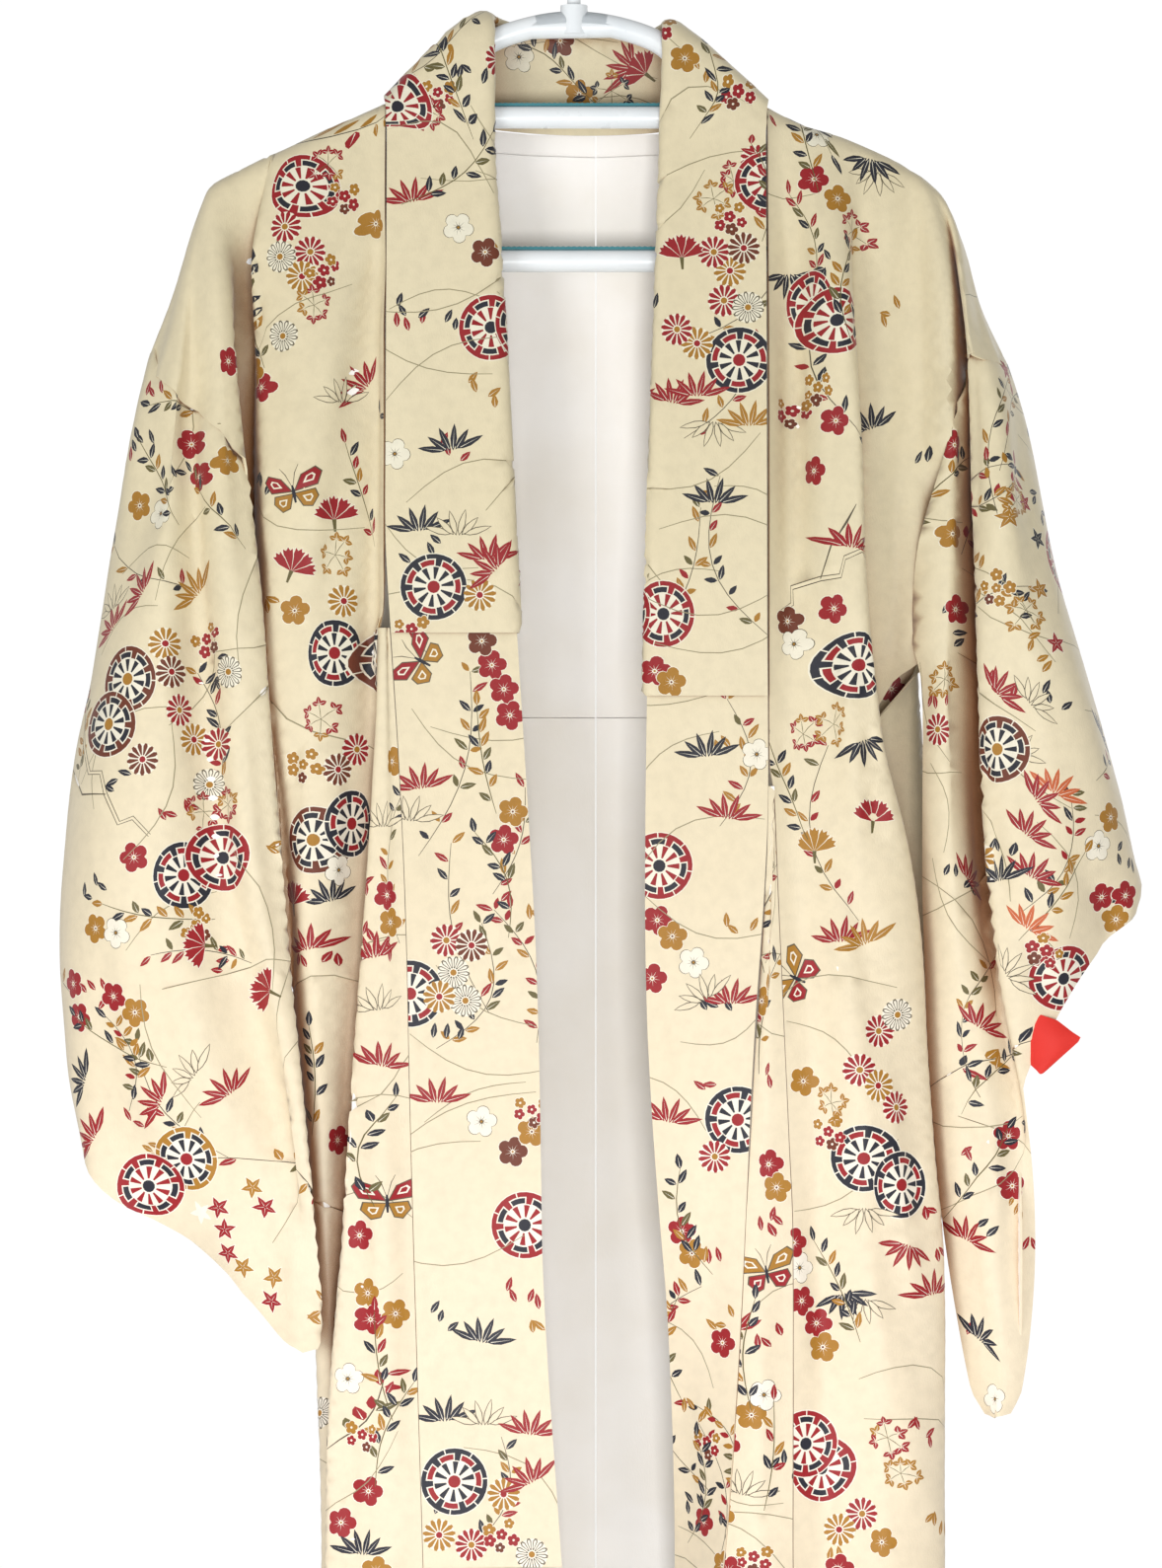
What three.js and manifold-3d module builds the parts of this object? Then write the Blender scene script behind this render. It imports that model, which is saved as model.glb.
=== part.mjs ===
// A long-sleeved silk kimono hanging on a closed plastic hanger, its front open.
// Millimetres, +Z up. The origin is the inside top of the hanger's hook, where a rod holds it.
// The front of the garment faces -Y. Left and right are the wearer's, so the right side is at -X.
// Heights are given as drops below the top of the hanger's arch, and depths as y.

import * as THREE from 'three';
import Module from 'manifold-3d';

const wasm = await Module();
wasm.setup();

// Driving dimensions
const HOOK_DROP = 75; // inside top of the hook down to the top of the arch
const CLOTH = 1.2; // outer silk with its backing
const LINING = 1.0;
const COLLAR_CORE = 1.8; // the collar band is folded double
const OVER_COLLAR = 1.0; // the extra band that wraps the upper collar
const WRAP = 1.3; // space between the two bands
const SEAM = 0.5; // space left between pieces that are sewn edge to edge
const HEM = 1650; // drop of the hem
const TUBE = 12.5; // the hanger's tube
const HOOK_WIRE = 7.5;
const SHOULDER_ROUND = 8; // radius of the cloth over the hanger's arm

// Outer collar seam and inner collar edge of each front: drop, inner x, outer x, inner depth, outer depth
const COLLAR_RIGHT = [
  [70, -46, -102.5, -11.5, -12],
  [120, -43, -102.5, -17, -18],
  [200, -38.5, -102.5, -25, -26],
  [300, -33.5, -102.3, -31, -32],
  [343, -31, -99.5, -33, -34],
  [430, -25.5, -94, -38, -38],
  [515, -20.7, -90.6, -41, -41],
  [591, -18.5, -89, -43, -43],
  [700, -16.4, -86, -44, -45],
  [850, -6.5, -81.5, -43, -47],
];
const COLLAR_LEFT = [
  [70, 49.5, 105, -11.5, -12],
  [120, 47.7, 105, -17, -18],
  [200, 45, 105, -25, -27],
  [319, 40.9, 105, -32, -34],
  [455, 38.7, 104.8, -38, -41],
  [526, 39, 100, -39, -44],
  [580, 41, 96.5, -38, -46],
  [640, 45, 94, -34, -47],
  [717, 51.5, 90.5, -26, -48],
  [809, 55, 84.5, -16, -48],
  [870, 56, 79, -10, -48],
];
const OVER_COLLAR_END = { right: 343, left: 376 };
// The collar over the arm and round the back of the neck:
// inner x, drop, depth, outer x, drop, depth, rise of the middle
const COLLAR_NECK = [
  [-46, 21, -10.3, -102.5, 61, -10.8, 2],
  [-46.2, 8, -7.5, -102.3, 51, -7.5, 6],
  [-46.5, 3.5, 0, -101.8, 48.5, 0, 8],
  [-45.7, 3.5, 4.4, -100.2, 48.8, 4.4, 7],
  [-44, 4, 8, -98, 50, 8, 5],
  [-36, 7, 12.5, -86, 56, 13, 2],
  [-16, 11, 15, -52, 62, 18, 0],
  [10, 13, 15.5, 10, 66, 21, 0],
  [34, 12, 15, 66, 62, 18, 0],
  [47, 9.5, 12.5, 92, 57, 13, 1],
  [50.5, 7.5, 8, 101.5, 52, 8, 2],
  [51.5, 7, 0, 104.4, 50.5, 0, 3],
  [51, 11, -8, 104.8, 52.5, -7.5, 3],
  [50.7, 25, -10.6, 105, 62, -10.8, 1],
];

// The folds of each body panel, from the centre back outwards. Each fold line is a short table
// with a row for each section: drop, x, depth. Its first row lies on the shoulder or neck line.
const NECK_RIGHT = [
  {
    fold: 'centre seam',
    back: [
      [66.5, 11.7, 21], [150, 11.7, 25], [300, 11.7, 27], [860, 11.7, 30], [HEM, 11.7, 34],
    ],
  },
  {
    fold: 'back ridge',
    back: [
      [65.5, -25, 20], [150, -25, 26], [300, -26, 29], [860, -28, 32], [HEM, -30, 38],
    ],
  },
  {
    fold: 'back valley',
    back: [
      [62, -62, 17], [150, -63, 24], [300, -64, 27], [860, -66, 28], [HEM, -70, 30],
    ],
  },
  {
    fold: 'neck side',
    back: [
      [57.5, -91, 12.5], [150, -94, 21], [300, -95, 26], [860, -98, 27], [HEM, -104, 32],
    ],
  },
];
const BODY_RIGHT = [
  {
    fold: 'collar and overlap seam',
    cap: [270, 270],
    front: [
      [51, -103.3, -8], [70, -103.4, -12], [120, -103.4, -18], [200, -103.4, -26], [300, -103.2, -32],
      [330, -103.4, -31.5], [348, -107.5, -30.5], [372, -105, -28.5], [410, -101, -27], [510, -98, -27],
      [860, -92, -26], [HEM, -92, -28],
    ],
    back: [
      [51, -103.3, 8], [120, -108, 18], [200, -110, 22], [300, -112, 25], [860, -112, 25],
      [HEM, -118, 30],
    ],
  },
  {
    fold: 'valley beside the collar',
    cap: [275, 275],
    front: [
      [55.5, -113, -8], [120, -111, -15], [200, -110.5, -20], [300, -111.5, -25], [395, -114, -28],
      [510, -121, -29], [591, -125, -29], [668, -127, -27], [860, -124, -25], [HEM, -130, -26],
    ],
    back: [
      [55.5, -113, 8], [120, -118, 17], [200, -121, 22], [300, -124, 25], [860, -120, 24],
      [HEM, -128, 26],
    ],
  },
  {
    fold: 'broad front ridge',
    cap: [290, 290],
    front: [
      [65, -135, -8], [120, -130, -20], [200, -134, -32], [300, -137, -39], [395, -140, -42],
      [510, -141, -42], [591, -138, -39], [646, -136, -35], [722, -134, -28], [860, -131, -22],
      [HEM, -142, -22],
    ],
    back: [
      [65, -135, 8], [120, -137, 16], [200, -140, 22], [300, -144, 25], [500, -136, 23],
      [860, -128, 20], [HEM, -140, 20],
    ],
  },
  {
    fold: 'front fold edge',
    cap: [320, 320],
    front: [
      [76, -158, -8], [133, -170, -20], [188, -167, -27], [253, -166, -32], [297, -166, -34],
      [373, -162.5, -36], [428, -159, -36], [482, -156, -35], [537, -152, -33], [591, -147.5, -29],
      [646, -144, -25], [722, -141, -19], [860, -138, -13], [HEM, -150, -13],
    ],
    back: [
      [76, -158, 8], [120, -158, 15], [200, -160, 20], [300, -163, 22], [400, -160, 21],
      [500, -150, 18], [600, -143, 14], [860, -138, 12], [HEM, -150, 12],
    ],
  },
  {
    fold: 'side edge',
    cap: [398, 398],
    front: [
      [82, -172, -8], [133, -176, -9], [200, -179, -9], [300, -179, -9], [400, -172, -8], [470, -160, -5],
      [540, -140, -1], [600, -118, -0.9], [700, -104, -0.9], [860, -101, -0.9], [HEM, -108, -0.9],
    ],
    back: [
      [82, -172, 8], [133, -173, 13], [200, -175, 15], [300, -176, 14], [400, -172, 12], [470, -160, 8],
      [540, -140, 1], [600, -118, 0.9], [700, -104, 0.9], [860, -101, 0.9], [HEM, -108, 0.9],
    ],
  },
];

// The folds of each sleeve, from its inner edge outwards. The seam is the drop at which the fold
// crosses the armhole, in front and at the back. Above it the fold belongs to the body's shoulder.
const SLEEVE_RIGHT = [
  {
    fold: 'inner edge',
    seam: [400, 400],
    front: [
      [400, -174.5, -10.5], [470, -168, -15], [526, -162, -22], [600, -154, -29], [660, -149, -33],
      [727, -143.5, -36],
    ],
    back: [
      [400, -174.5, 14.5], [470, -169, 13.5], [526, -164, 8], [600, -157, -7], [660, -151, -22],
      [727, -139, -31],
    ],
  },
  {
    fold: 'bottom of the deep fold',
    seam: [320, 330],
    front: [
      [85, -178, -8], [133, -183, -11], [200, -187, -12], [320, -185, -13], [400, -178, -14],
      [470, -173, -18], [526, -168, -24], [600, -160, -30], [660, -155, -34], [729, -150, -37],
    ],
    back: [
      [85, -178, 8], [150, -178, 17], [330, -178, 22], [400, -175, 21], [526, -167, 12], [600, -160, -2],
      [660, -154, -18], [729, -140, -31.5],
    ],
  },
  {
    fold: 'sleeve fold edge',
    seam: [248, 270],
    front: [
      [89, -186, -8], [109, -192, -13], [150, -188, -24], [188, -184.5, -30], [248, -179, -36],
      [319, -171, -42],
      [395, -165, -45], [466, -159, -47], [526, -154, -49], [591, -147, -50], [646, -142, -49],
      [717, -137, -43], [731, -139, -41],
    ],
    back: [
      [89, -186, 8], [150, -184, 18], [270, -183, 26], [373, -176, 27], [482, -170, 23],
      [591, -161, 6], [660, -155, -14], [731, -142, -32],
    ],
  },
  {
    fold: 'bright ridge',
    seam: [237, 245],
    front: [
      [93, -194, -8], [109, -199, -14], [150, -196, -28], [188, -193, -36], [237, -189, -42],
      [319, -183, -48],
      [395, -177, -51], [466, -170, -53], [526, -164, -54], [591, -156, -54], [646, -150, -51],
      [717, -147, -44], [733, -147, -41],
    ],
    back: [
      [93, -194, 8], [150, -193, 18], [245, -190, 27], [297, -187, 30], [428, -178, 30],
      [537, -170, 22], [640, -158, -4], [732, -148, -32],
    ],
  },
  {
    fold: 'soft valley',
    seam: [222, 225],
    front: [
      [97.5, -200, -8], [120, -204, -14], [160, -207, -20], [222, -205, -28], [297, -201, -33],
      [373, -196, -37],
      [428, -189, -40], [482, -184, -42], [537, -175, -43], [629, -160, -43], [700, -157, -40],
      [727, -157, -37],
    ],
    back: [
      [97.5, -200, 8], [150, -204, 16], [225, -204, 26], [297, -202, 30], [428, -192, 32],
      [537, -182, 26], [640, -166, 0], [726, -157, -32],
    ],
  },
  {
    fold: 'outer ridge',
    seam: [212, 212],
    front: [
      [114, -207, -6], [150, -212, -16], [212, -216, -34], [297, -222, -44], [373, -224, -49],
      [428, -226, -53],
      [482, -226, -55], [537, -222, -55], [600, -208, -50], [660, -192, -38], [702, -180, -30],
    ],
    back: [
      [114, -207, 6], [150, -212, 12], [212, -216, 22], [297, -222, 28], [428, -226, 32],
      [537, -222, 26], [640, -198, 4], [701, -180, -25],
    ],
  },
  {
    fold: 'shoulder of the roll',
    seam: [203, 203],
    front: [
      [150, -217.5, -5], [175, -222, -12], [203, -226.5, -22], [297, -241, -30], [373, -250, -36],
      [428, -257, -40],
      [482, -261, -42], [537, -260, -42], [600, -248, -34], [650, -233, -26], [666, -222, -22],
    ],
    back: [
      [150, -217.5, 5], [175, -222, 10], [203, -226.5, 16], [297, -241, 20], [428, -257, 24],
      [537, -260, 22], [600, -249, 8], [665, -222, -17],
    ],
  },
  {
    fold: 'top line and cuff',
    seam: [197.5, 197.5],
    front: [
      [187, -231.5, -3.5], [197.5, -234.5, -3.5], [253, -246, -3.5], [297, -254, -3.5], [368, -265, -3.5],
      [411, -274, -3.5], [471, -280, -3.5], [515, -282, -4], [564, -279, -7], [591, -276, -9],
      [627, -268, -12],
    ],
    back: [
      [187, -231.5, 3.5], [197.5, -234.5, 3.5], [253, -246, 3.5], [297, -254, 3.5], [368, -265, 3.5],
      [411, -274, 3.5], [471, -280, 3.5], [515, -282, 4], [564, -279, 5], [591, -276, 4], [625, -266, 2],
    ],
  },
];

const NECK_LEFT = [
  {
    fold: 'centre seam',
    back: [
      [66.5, 12.3, 21], [150, 12.3, 25], [300, 12.3, 27], [860, 12.3, 30], [HEM, 12.3, 34],
    ],
  },
  {
    fold: 'back ridge',
    back: [
      [65.2, 45, 20], [150, 46, 26], [300, 47, 29], [860, 50, 31], [HEM, 54, 38],
    ],
  },
  {
    fold: 'back valley',
    back: [
      [62.2, 72, 17], [150, 74, 25], [300, 75, 28], [860, 78, 29], [HEM, 84, 32],
    ],
  },
  {
    fold: 'neck side',
    back: [
      [57.8, 94, 12], [150, 98, 22], [300, 100, 27], [860, 106, 28], [HEM, 114, 34],
    ],
  },
];
const BODY_LEFT = [
  {
    fold: 'collar and overlap seam',
    cap: [260, 260],
    front: [
      [53, 105.8, -8], [70, 105.9, -12], [120, 105.9, -18], [200, 105.9, -27], [300, 105.9, -33.3],
      [400, 105.9, -38.7], [415, 106.2, -39.3], [428, 108.4, -39.8], [482, 110.6, -42], [529, 112.6, -43.5],
      [619, 116.6, -45], [668, 118.6, -46], [860, 118.6, -47], [HEM, 124, -48],
    ],
    back: [[53, 105.8, 8], [120, 110, 18], [200, 113, 23], [300, 116, 27], [860, 126, 27], [HEM, 136, 33]],
  },
  {
    fold: 'dark valley',
    cap: [262, 262],
    front: [
      [57, 113, -8], [120, 115, -14], [200, 117, -18], [300, 116, -25], [400, 120, -33], [482, 124, -38],
      [570, 128, -41], [668, 134, -41], [860, 136, -41], [HEM, 140, -40],
    ],
    back: [[57, 113, 8], [120, 122, 18], [200, 128, 23], [300, 132, 26], [860, 146, 24], [HEM, 158, 28]],
  },
  {
    fold: 'front ridge',
    cap: [265, 265],
    front: [
      [64, 128, -8], [120, 134, -22], [200, 139, -33], [300, 142, -41], [400, 148, -46], [500, 154, -48],
      [600, 160, -48], [700, 166, -46], [860, 166, -45], [HEM, 172, -44],
    ],
    back: [
      [64, 128, 8], [120, 138, 17], [200, 146, 22], [300, 150, 25], [500, 160, 24], [860, 170, 22],
      [HEM, 182, 22],
    ],
  },
  {
    fold: 'sharp fold edge',
    cap: [280, 280],
    front: [
      [70, 148, -8], [120, 150, -19], [188, 153.5, -31], [253, 156.5, -36], [297, 157.5, -39],
      [341, 160.5, -41],
      [384, 165.5, -41], [406, 168.5, -40], [455, 180.5, -37], [510, 188.5, -33], [564, 191.5, -31],
      [619, 195.5, -29], [673, 200.5, -27], [720, 202, -26], [860, 202, -25], [HEM, 208, -24],
    ],
    back: [
      [70, 148, 8], [120, 156, 16], [200, 164, 22], [300, 168, 25], [400, 176, 24], [500, 188, 22],
      [600, 192, 20], [860, 192, 18], [HEM, 202, 18],
    ],
  },
  {
    fold: 'under the fold',
    cap: [300, 300],
    front: [
      [75, 160, -8], [120, 157, -13], [188, 152.5, -19], [253, 153.5, -22], [300, 154, -23],
      [341, 155.5, -24],
      [384, 159, -24], [420, 165, -25], [500, 181, -22], [600, 187, -18], [700, 195, -15],
      [860, 196, -13], [HEM, 202, -12],
    ],
    back: [
      [75, 160, 8], [120, 168, 16], [200, 176, 21], [300, 182, 23], [400, 192, 21], [500, 200, 14],
      [600, 202, 10], [860, 203, 9], [HEM, 209, 10],
    ],
  },
  {
    fold: 'deeper panel',
    cap: [320, 320],
    front: [
      [81.5, 174, -8], [120, 174, -14], [188, 172, -20], [253, 174, -22], [300, 175, -22], [346, 168, -18],
      [384, 156, -14], [420, 156, -12], [500, 170, -11], [600, 174, -9], [700, 180, -8],
      [860, 181, -7], [HEM, 186, -7],
    ],
    back: [
      [81.5, 174, 8], [150, 180, 17], [250, 186, 20], [346, 190, 18], [400, 186, 10], [440, 182, 8],
      [500, 184, 5], [600, 188, 4], [860, 188, 4], [HEM, 192, 4],
    ],
  },
  {
    fold: 'side edge',
    cap: [344, 346],
    front: [
      [87.5, 184, -8], [150, 190, -13], [250, 190, -17], [344, 183, -19], [368, 168, -12], [400, 156, -8],
      [440, 152, -4], [485, 156, -1], [600, 165, -0.9], [860, 170, -0.9], [HEM, 174, -0.9],
    ],
    back: [
      [87.5, 184, 8], [150, 190, 16], [250, 194, 20], [346, 194, 18], [368, 186, 10], [400, 172, 5],
      [440, 162, 3.5], [485, 156, 1], [600, 165, 0.9], [860, 170, 0.9], [HEM, 174, 0.9],
    ],
  },
];
const SLEEVE_LEFT = [
  {
    fold: 'inner edge',
    seam: [346, 348],
    front: [
      [346, 185.8, -20.5], [368, 190, -23], [430, 190.5, -25], [482, 190.5, -25], [510, 191.5, -23],
      [564, 193.5, -20],
      [619, 197.5, -18.5], [673, 203, -17], [755, 217, -16], [769, 225, -16],
    ],
    back: [
      [348, 196.5, 20.5], [400, 206, 23], [482, 208, 15], [560, 209, 2], [646, 209, -5],
      [700, 212, -9], [755, 219, -11], [768, 226, -12.5],
    ],
  },
  {
    fold: 'inner ridge',
    seam: [232, 300],
    front: [
      [91, 190, -8], [120, 198, -18], [160, 204, -28], [232, 205.5, -33], [346, 203, -37], [430, 205, -39],
      [482, 206, -39], [560, 210, -35], [646, 215, -32], [720, 223.5, -28], [771, 230, -20.5],
    ],
    back: [
      [91, 190, 8], [150, 198, 16], [200, 200, 21], [300, 200, 25], [400, 209, 28], [482, 213, 22],
      [560, 217, 6], [646, 220, -5], [720, 226, -10], [770, 229, -15.5],
    ],
  },
  {
    fold: 'bottom of the deep fold',
    seam: [196, 262],
    front: [
      [96, 196, -8], [120, 205, -11], [150, 211, -11], [196, 217, -11], [264, 219.5, -12], [319, 222, -13],
      [428, 225, -16], [482, 228, -20], [526, 232, -25], [560, 236, -28], [602, 242, -28.5],
      [662, 241, -27.5],
      [755, 242, -23], [768, 238, -20],
    ],
    back: [
      [96, 196, 8], [150, 205, 17], [262, 206, 27], [346, 212, 32], [428, 222, 31], [526, 231, 14],
      [602, 241, -8], [662, 240, -13], [755, 241, -15.5], [767, 237, -15.5],
    ],
  },
  {
    fold: 'outer fold edge',
    seam: [193, 230],
    front: [
      [101, 201, -8], [120, 207, -14], [150, 210.5, -24], [193, 214.5, -31], [264, 217, -38],
      [319, 219.5, -41],
      [373, 221, -43], [428, 222.5, -45], [482, 226, -46], [526, 231, -46], [560, 238, -43],
      [590, 244, -37],
    ],
    back: [
      [101, 201, 8], [150, 210, 16], [230, 212, 26], [302, 222, 32], [428, 236, 34], [526, 240, 20],
      [590, 243, -12],
    ],
  },
  {
    fold: 'outer ridge',
    seam: [194.5, 212],
    front: [
      [132, 214.5, -5], [160, 219, -16], [194.5, 223, -34], [264, 234, -46], [319, 242, -50],
      [373, 249, -52],
      [428, 256, -52], [482, 262, -50], [526, 262, -44], [548, 264, -38],
    ],
    back: [
      [132, 214.5, 5], [165, 218, 14], [212, 220, 23], [302, 236, 30], [428, 256, 32], [500, 262, 18],
      [545, 263, -10],
    ],
  },
  {
    fold: 'shoulder of the roll',
    seam: [196.5, 204],
    front: [
      [158, 221.5, -4], [178, 227, -14], [196.5, 232, -24], [264, 248, -30], [319, 260, -35],
      [373, 273, -38],
      [428, 286, -37], [470, 293, -32], [512, 288, -26],
    ],
    back: [
      [158, 221.5, 4], [180, 226, 10], [204, 230, 17], [302, 252, 22], [428, 284, 22], [470, 290, 12],
      [508, 286, -6],
    ],
  },
  {
    fold: 'top line and cuff',
    seam: [197, 197],
    front: [
      [187, 233, -3.5], [197, 238.5, -3.5], [237, 250, -3.5], [302, 263, -3.5], [368, 282, -3.5],
      [428, 299, -4],
      [466, 307, -6], [482, 311, -8], [492, 308, -10],
    ],
    back: [
      [187, 233, 3.5], [197, 238.5, 3.5], [237, 250, 3.5], [302, 263, 3.5], [368, 282, 3.5], [428, 299, 4],
      [466, 307, 3], [482, 311, 1], [491, 307, 0],
    ],
  },
];
const CUFF_OPENS_AT = 0.74; // share of the top line's length at which the cuff opening starts

// The overlap panels from the collar seam outwards, drop, x and depth. The first two lines exist
// only below the end of the collar, where the panel runs on to its own front edge.
const OVERLAP_RIGHT = {
  top: 340,
  collarEnd: 852,
  folds: [
    [[852, -7, -43], [1250, -2, -45], [HEM, 2, -48]],
    [[852, -44, -46.5], [1250, -43, -49], [HEM, -42, -53]],
    'collar seam',
    [
      [340, -102.5, -34.6], [395, -102.6, -38.8], [510, -103.5, -43], [591, -105, -45],
      [760, -110, -49], [HEM, -120, -54],
    ],
    [
      [340, -104.6, -34.4], [395, -107, -37.5], [510, -115, -40.5], [591, -120, -42],
      [668, -125, -43], [760, -133, -44], [860, -135, -44], [HEM, -150, -46],
    ],
    [
      [340, -106, -33.6], [395, -106, -33.6], [510, -109, -34], [668, -115, -34],
      [760, -119, -34], [HEM, -128, -36],
    ],
    'body seam',
  ],
};
const OVERLAP_PLAY = 0.5; // what a straight seam is moved aside for its neighbour's facets
const OVERLAP_LEFT = {
  top: 426,
  collarEnd: 872,
  folds: [
    [[872, 56, -10], [1250, 52, -22], [HEM, 46, -40]],
    [[872, 67, -30], [1250, 67, -40], [HEM, 64, -52]],
    'collar seam',
    [
      [426, 106.6, -39.6], [529, 106, -45], [619, 105, -47.4],
      [717, 104, -49], [860, 99, -51], [HEM, 104, -55],
    ],
    'body seam',
  ],
};

// The hanger: top line of its arch and arms, half of it, x and drop
const ARCH = [[0, 0], [25, 3], [50, 12], [65, 26], [80, 40.5], [95, 53.5], [105, 59.5],
  [121, 65], [143, 73], [165, 81.5]];
const ARM_END = { x: 174.8, drop: 116.2, radius: 21 };
const UPPER_BAR = { drop: 58.3, half: 91 };
const GRIP = { width: 7, thickness: 1.4 };

const COLORS = { silk: 0xf1e6cf, lining: 0xf3ede4, red: 0xd8382c, hanger: 0xf2f4f3, grip: 0x4f7f92 };

const silk = new THREE.MeshStandardMaterial({ color: COLORS.silk, roughness: 0.62, metalness: 0 });
const liningSilk = new THREE.MeshStandardMaterial({ color: COLORS.lining, roughness: 0.55, metalness: 0 });
const redSilk = new THREE.MeshStandardMaterial({ color: COLORS.red, roughness: 0.5, metalness: 0 });
const whitePlastic = new THREE.MeshStandardMaterial({ color: COLORS.hanger, roughness: 0.22, metalness: 0 });
const gripRubber = new THREE.MeshStandardMaterial({ color: COLORS.grip, roughness: 0.7, metalness: 0 });

const kimono = new THREE.Group();

function addMesh(name, geometry, material) {
  const mesh = new THREE.Mesh(geometry, material);
  mesh.name = name;
  kimono.add(mesh);
}

function place(x, depth, drop) {
  return new THREE.Vector3(x, depth, -HOOK_DROP - drop);
}

// A smooth value at one drop of a table whose first column is the drop
function atDrop(table, column, drop) {
  const last = table.length - 1;
  let k = 0;
  while (k < last - 1 && drop > table[k + 1][0]) k += 1;
  const slope = (i) => {
    const a = table[Math.max(i - 1, 0)];
    const b = table[Math.min(i + 1, last)];
    return (b[column] - a[column]) / (b[0] - a[0]);
  };
  const span = table[k + 1][0] - table[k][0];
  const t = Math.min(Math.max((drop - table[k][0]) / span, 0), 1);
  const [p, q] = [table[k][column], table[k + 1][column]];
  const [u, v] = [slope(k) * span, slope(k + 1) * span];
  return p + t * (u + t * (3 * (q - p) - 2 * u - v + t * (2 * (p - q) + u + v)));
}

// A point of a fold line. Near its top the cloth rounds over the hanger's arm.
function foldPoint(table, drop, rounded) {
  const below = drop - table[0][0];
  const round = rounded && below < SHOULDER_ROUND ? Math.sqrt(1 - (1 - below / SHOULDER_ROUND) ** 2) : 1;
  return place(atDrop(table, 1, drop), atDrop(table, 2, drop) * round, drop);
}

// Points across a section, through one point for each fold line, with cells[i] cells in each gap
function acrossFolds(points, cells) {
  const first = points.findIndex((point) => point !== null);
  let last = first;
  while (last + 1 < points.length && points[last + 1] !== null) last += 1;
  const curve = new THREE.CatmullRomCurve3(points.slice(first, last + 1), false, 'centripetal');
  const section = [];
  points.forEach((point, i) => {
    const inside = i >= first && i <= last;
    section.push(inside ? point : null);
    const steps = i < points.length - 1 ? cells[i] : 1;
    for (let k = 1; k < steps; k += 1) {
      const t = (i - first + k / steps) / (last - first);
      section.push(inside && i < last ? curve.getPoint(t) : null);
    }
  });
  return section;
}

// The surface's normal at each point of a grid, averaged over the cells that meet there
function gridNormals(rows, hasCell) {
  const normals = rows.map((row) => row.map(() => null));
  for (let i = 0; i < rows.length - 1; i += 1) {
    for (let j = 0; j < rows[0].length - 1; j += 1) {
      if (!hasCell(i, j)) continue;
      const across = rows[i][j + 1].clone().add(rows[i + 1][j + 1]).sub(rows[i][j]).sub(rows[i + 1][j]);
      const down = rows[i + 1][j].clone().add(rows[i + 1][j + 1]).sub(rows[i][j]).sub(rows[i][j + 1]);
      const normal = across.cross(down).normalize();
      for (const [a, b] of [[i, j], [i, j + 1], [i + 1, j], [i + 1, j + 1]]) {
        normals[a][b] = (normals[a][b] ?? new THREE.Vector3()).add(normal);
      }
    }
  }
  return normals.map((row) => row.map((normal) => normal?.normalize() ?? null));
}

// A closed wall around a grid of mid-surface points. A cell is there when its four corners are
// and present says so. The outer skin, the inner skin and the rims make one closed body.
function wallGeometry(rows, thickness, present = () => true) {
  const [height, width] = [rows.length, rows[0].length];
  const hasCell = (i, j) =>
    i >= 0 && j >= 0 && i < height - 1 && j < width - 1 && present(i, j)
    && rows[i][j] && rows[i][j + 1] && rows[i + 1][j] && rows[i + 1][j + 1];
  const normals = gridNormals(rows, hasCell);
  const positions = [];
  const index = rows.map((row) => row.map(() => -1));
  rows.forEach((row, i) => row.forEach((point, j) => {
    if (!normals[i][j]) return;
    const half = normals[i][j].clone().multiplyScalar(thickness / 2);
    index[i][j] = positions.length / 3;
    positions.push(...point.clone().add(half).toArray(), ...point.clone().sub(half).toArray());
  }));
  const triangles = [];
  const rim = (a, b) => triangles.push(a, a + 1, b, b, a + 1, b + 1);
  for (let i = 0; i < height - 1; i += 1) {
    for (let j = 0; j < width - 1; j += 1) {
      if (!hasCell(i, j)) continue;
      const [a, b, c, d] = [index[i][j], index[i][j + 1], index[i + 1][j + 1], index[i + 1][j]];
      triangles.push(a, b, c, a, c, d, a + 1, c + 1, b + 1, a + 1, d + 1, c + 1);
      if (!hasCell(i - 1, j)) rim(a, b);
      if (!hasCell(i, j + 1)) rim(b, c);
      if (!hasCell(i + 1, j)) rim(c, d);
      if (!hasCell(i, j - 1)) rim(d, a);
    }
  }
  const geometry = new THREE.BufferGeometry();
  geometry.setAttribute('position', new THREE.Float32BufferAttribute(positions, 3));
  geometry.setIndex(triangles);
  geometry.computeVertexNormals();
  return geometry;
}

// Drops of the rows of one body fold, from the shoulder to the hem. The first rows round the
// hanger's arm, the next end at the armhole, and the rest go down at the same drops on all folds.
const ROUNDING_ROWS = [1.5, 5, 9];
const CAP_ROWS = 5;
const NECK_CAP_END = 270;
const MEETING_DROP = 440;
const MEETING_ROWS = 3;
const LOWER_DROPS = [500, 560, 625, 700, 780, 860, 1000, 1200, 1420, HEM];

function capDrops(top, end) {
  const length = end - top;
  const drops = ROUNDING_ROWS.map((step, i) => top + Math.min(step, (length * (i + 1)) / 8));
  const start = drops[drops.length - 1];
  for (let i = 1; i <= CAP_ROWS; i += 1) drops.push(start + ((end - start) * i) / CAP_ROWS);
  return drops;
}

function bodyDrops(top, end) {
  const drops = capDrops(top, end);
  for (let i = 1; i <= MEETING_ROWS; i += 1) drops.push(end + ((MEETING_DROP - end) * i) / MEETING_ROWS);
  return drops.concat(LOWER_DROPS);
}

// Drop of the armhole seam on one fold of a sleeve, for the piece above it (side -1) or below it
// (side 1). The gap between the two is measured square to the seam, so it grows where that is steep.
const STEEPEST_SEAM = 8;

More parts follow.
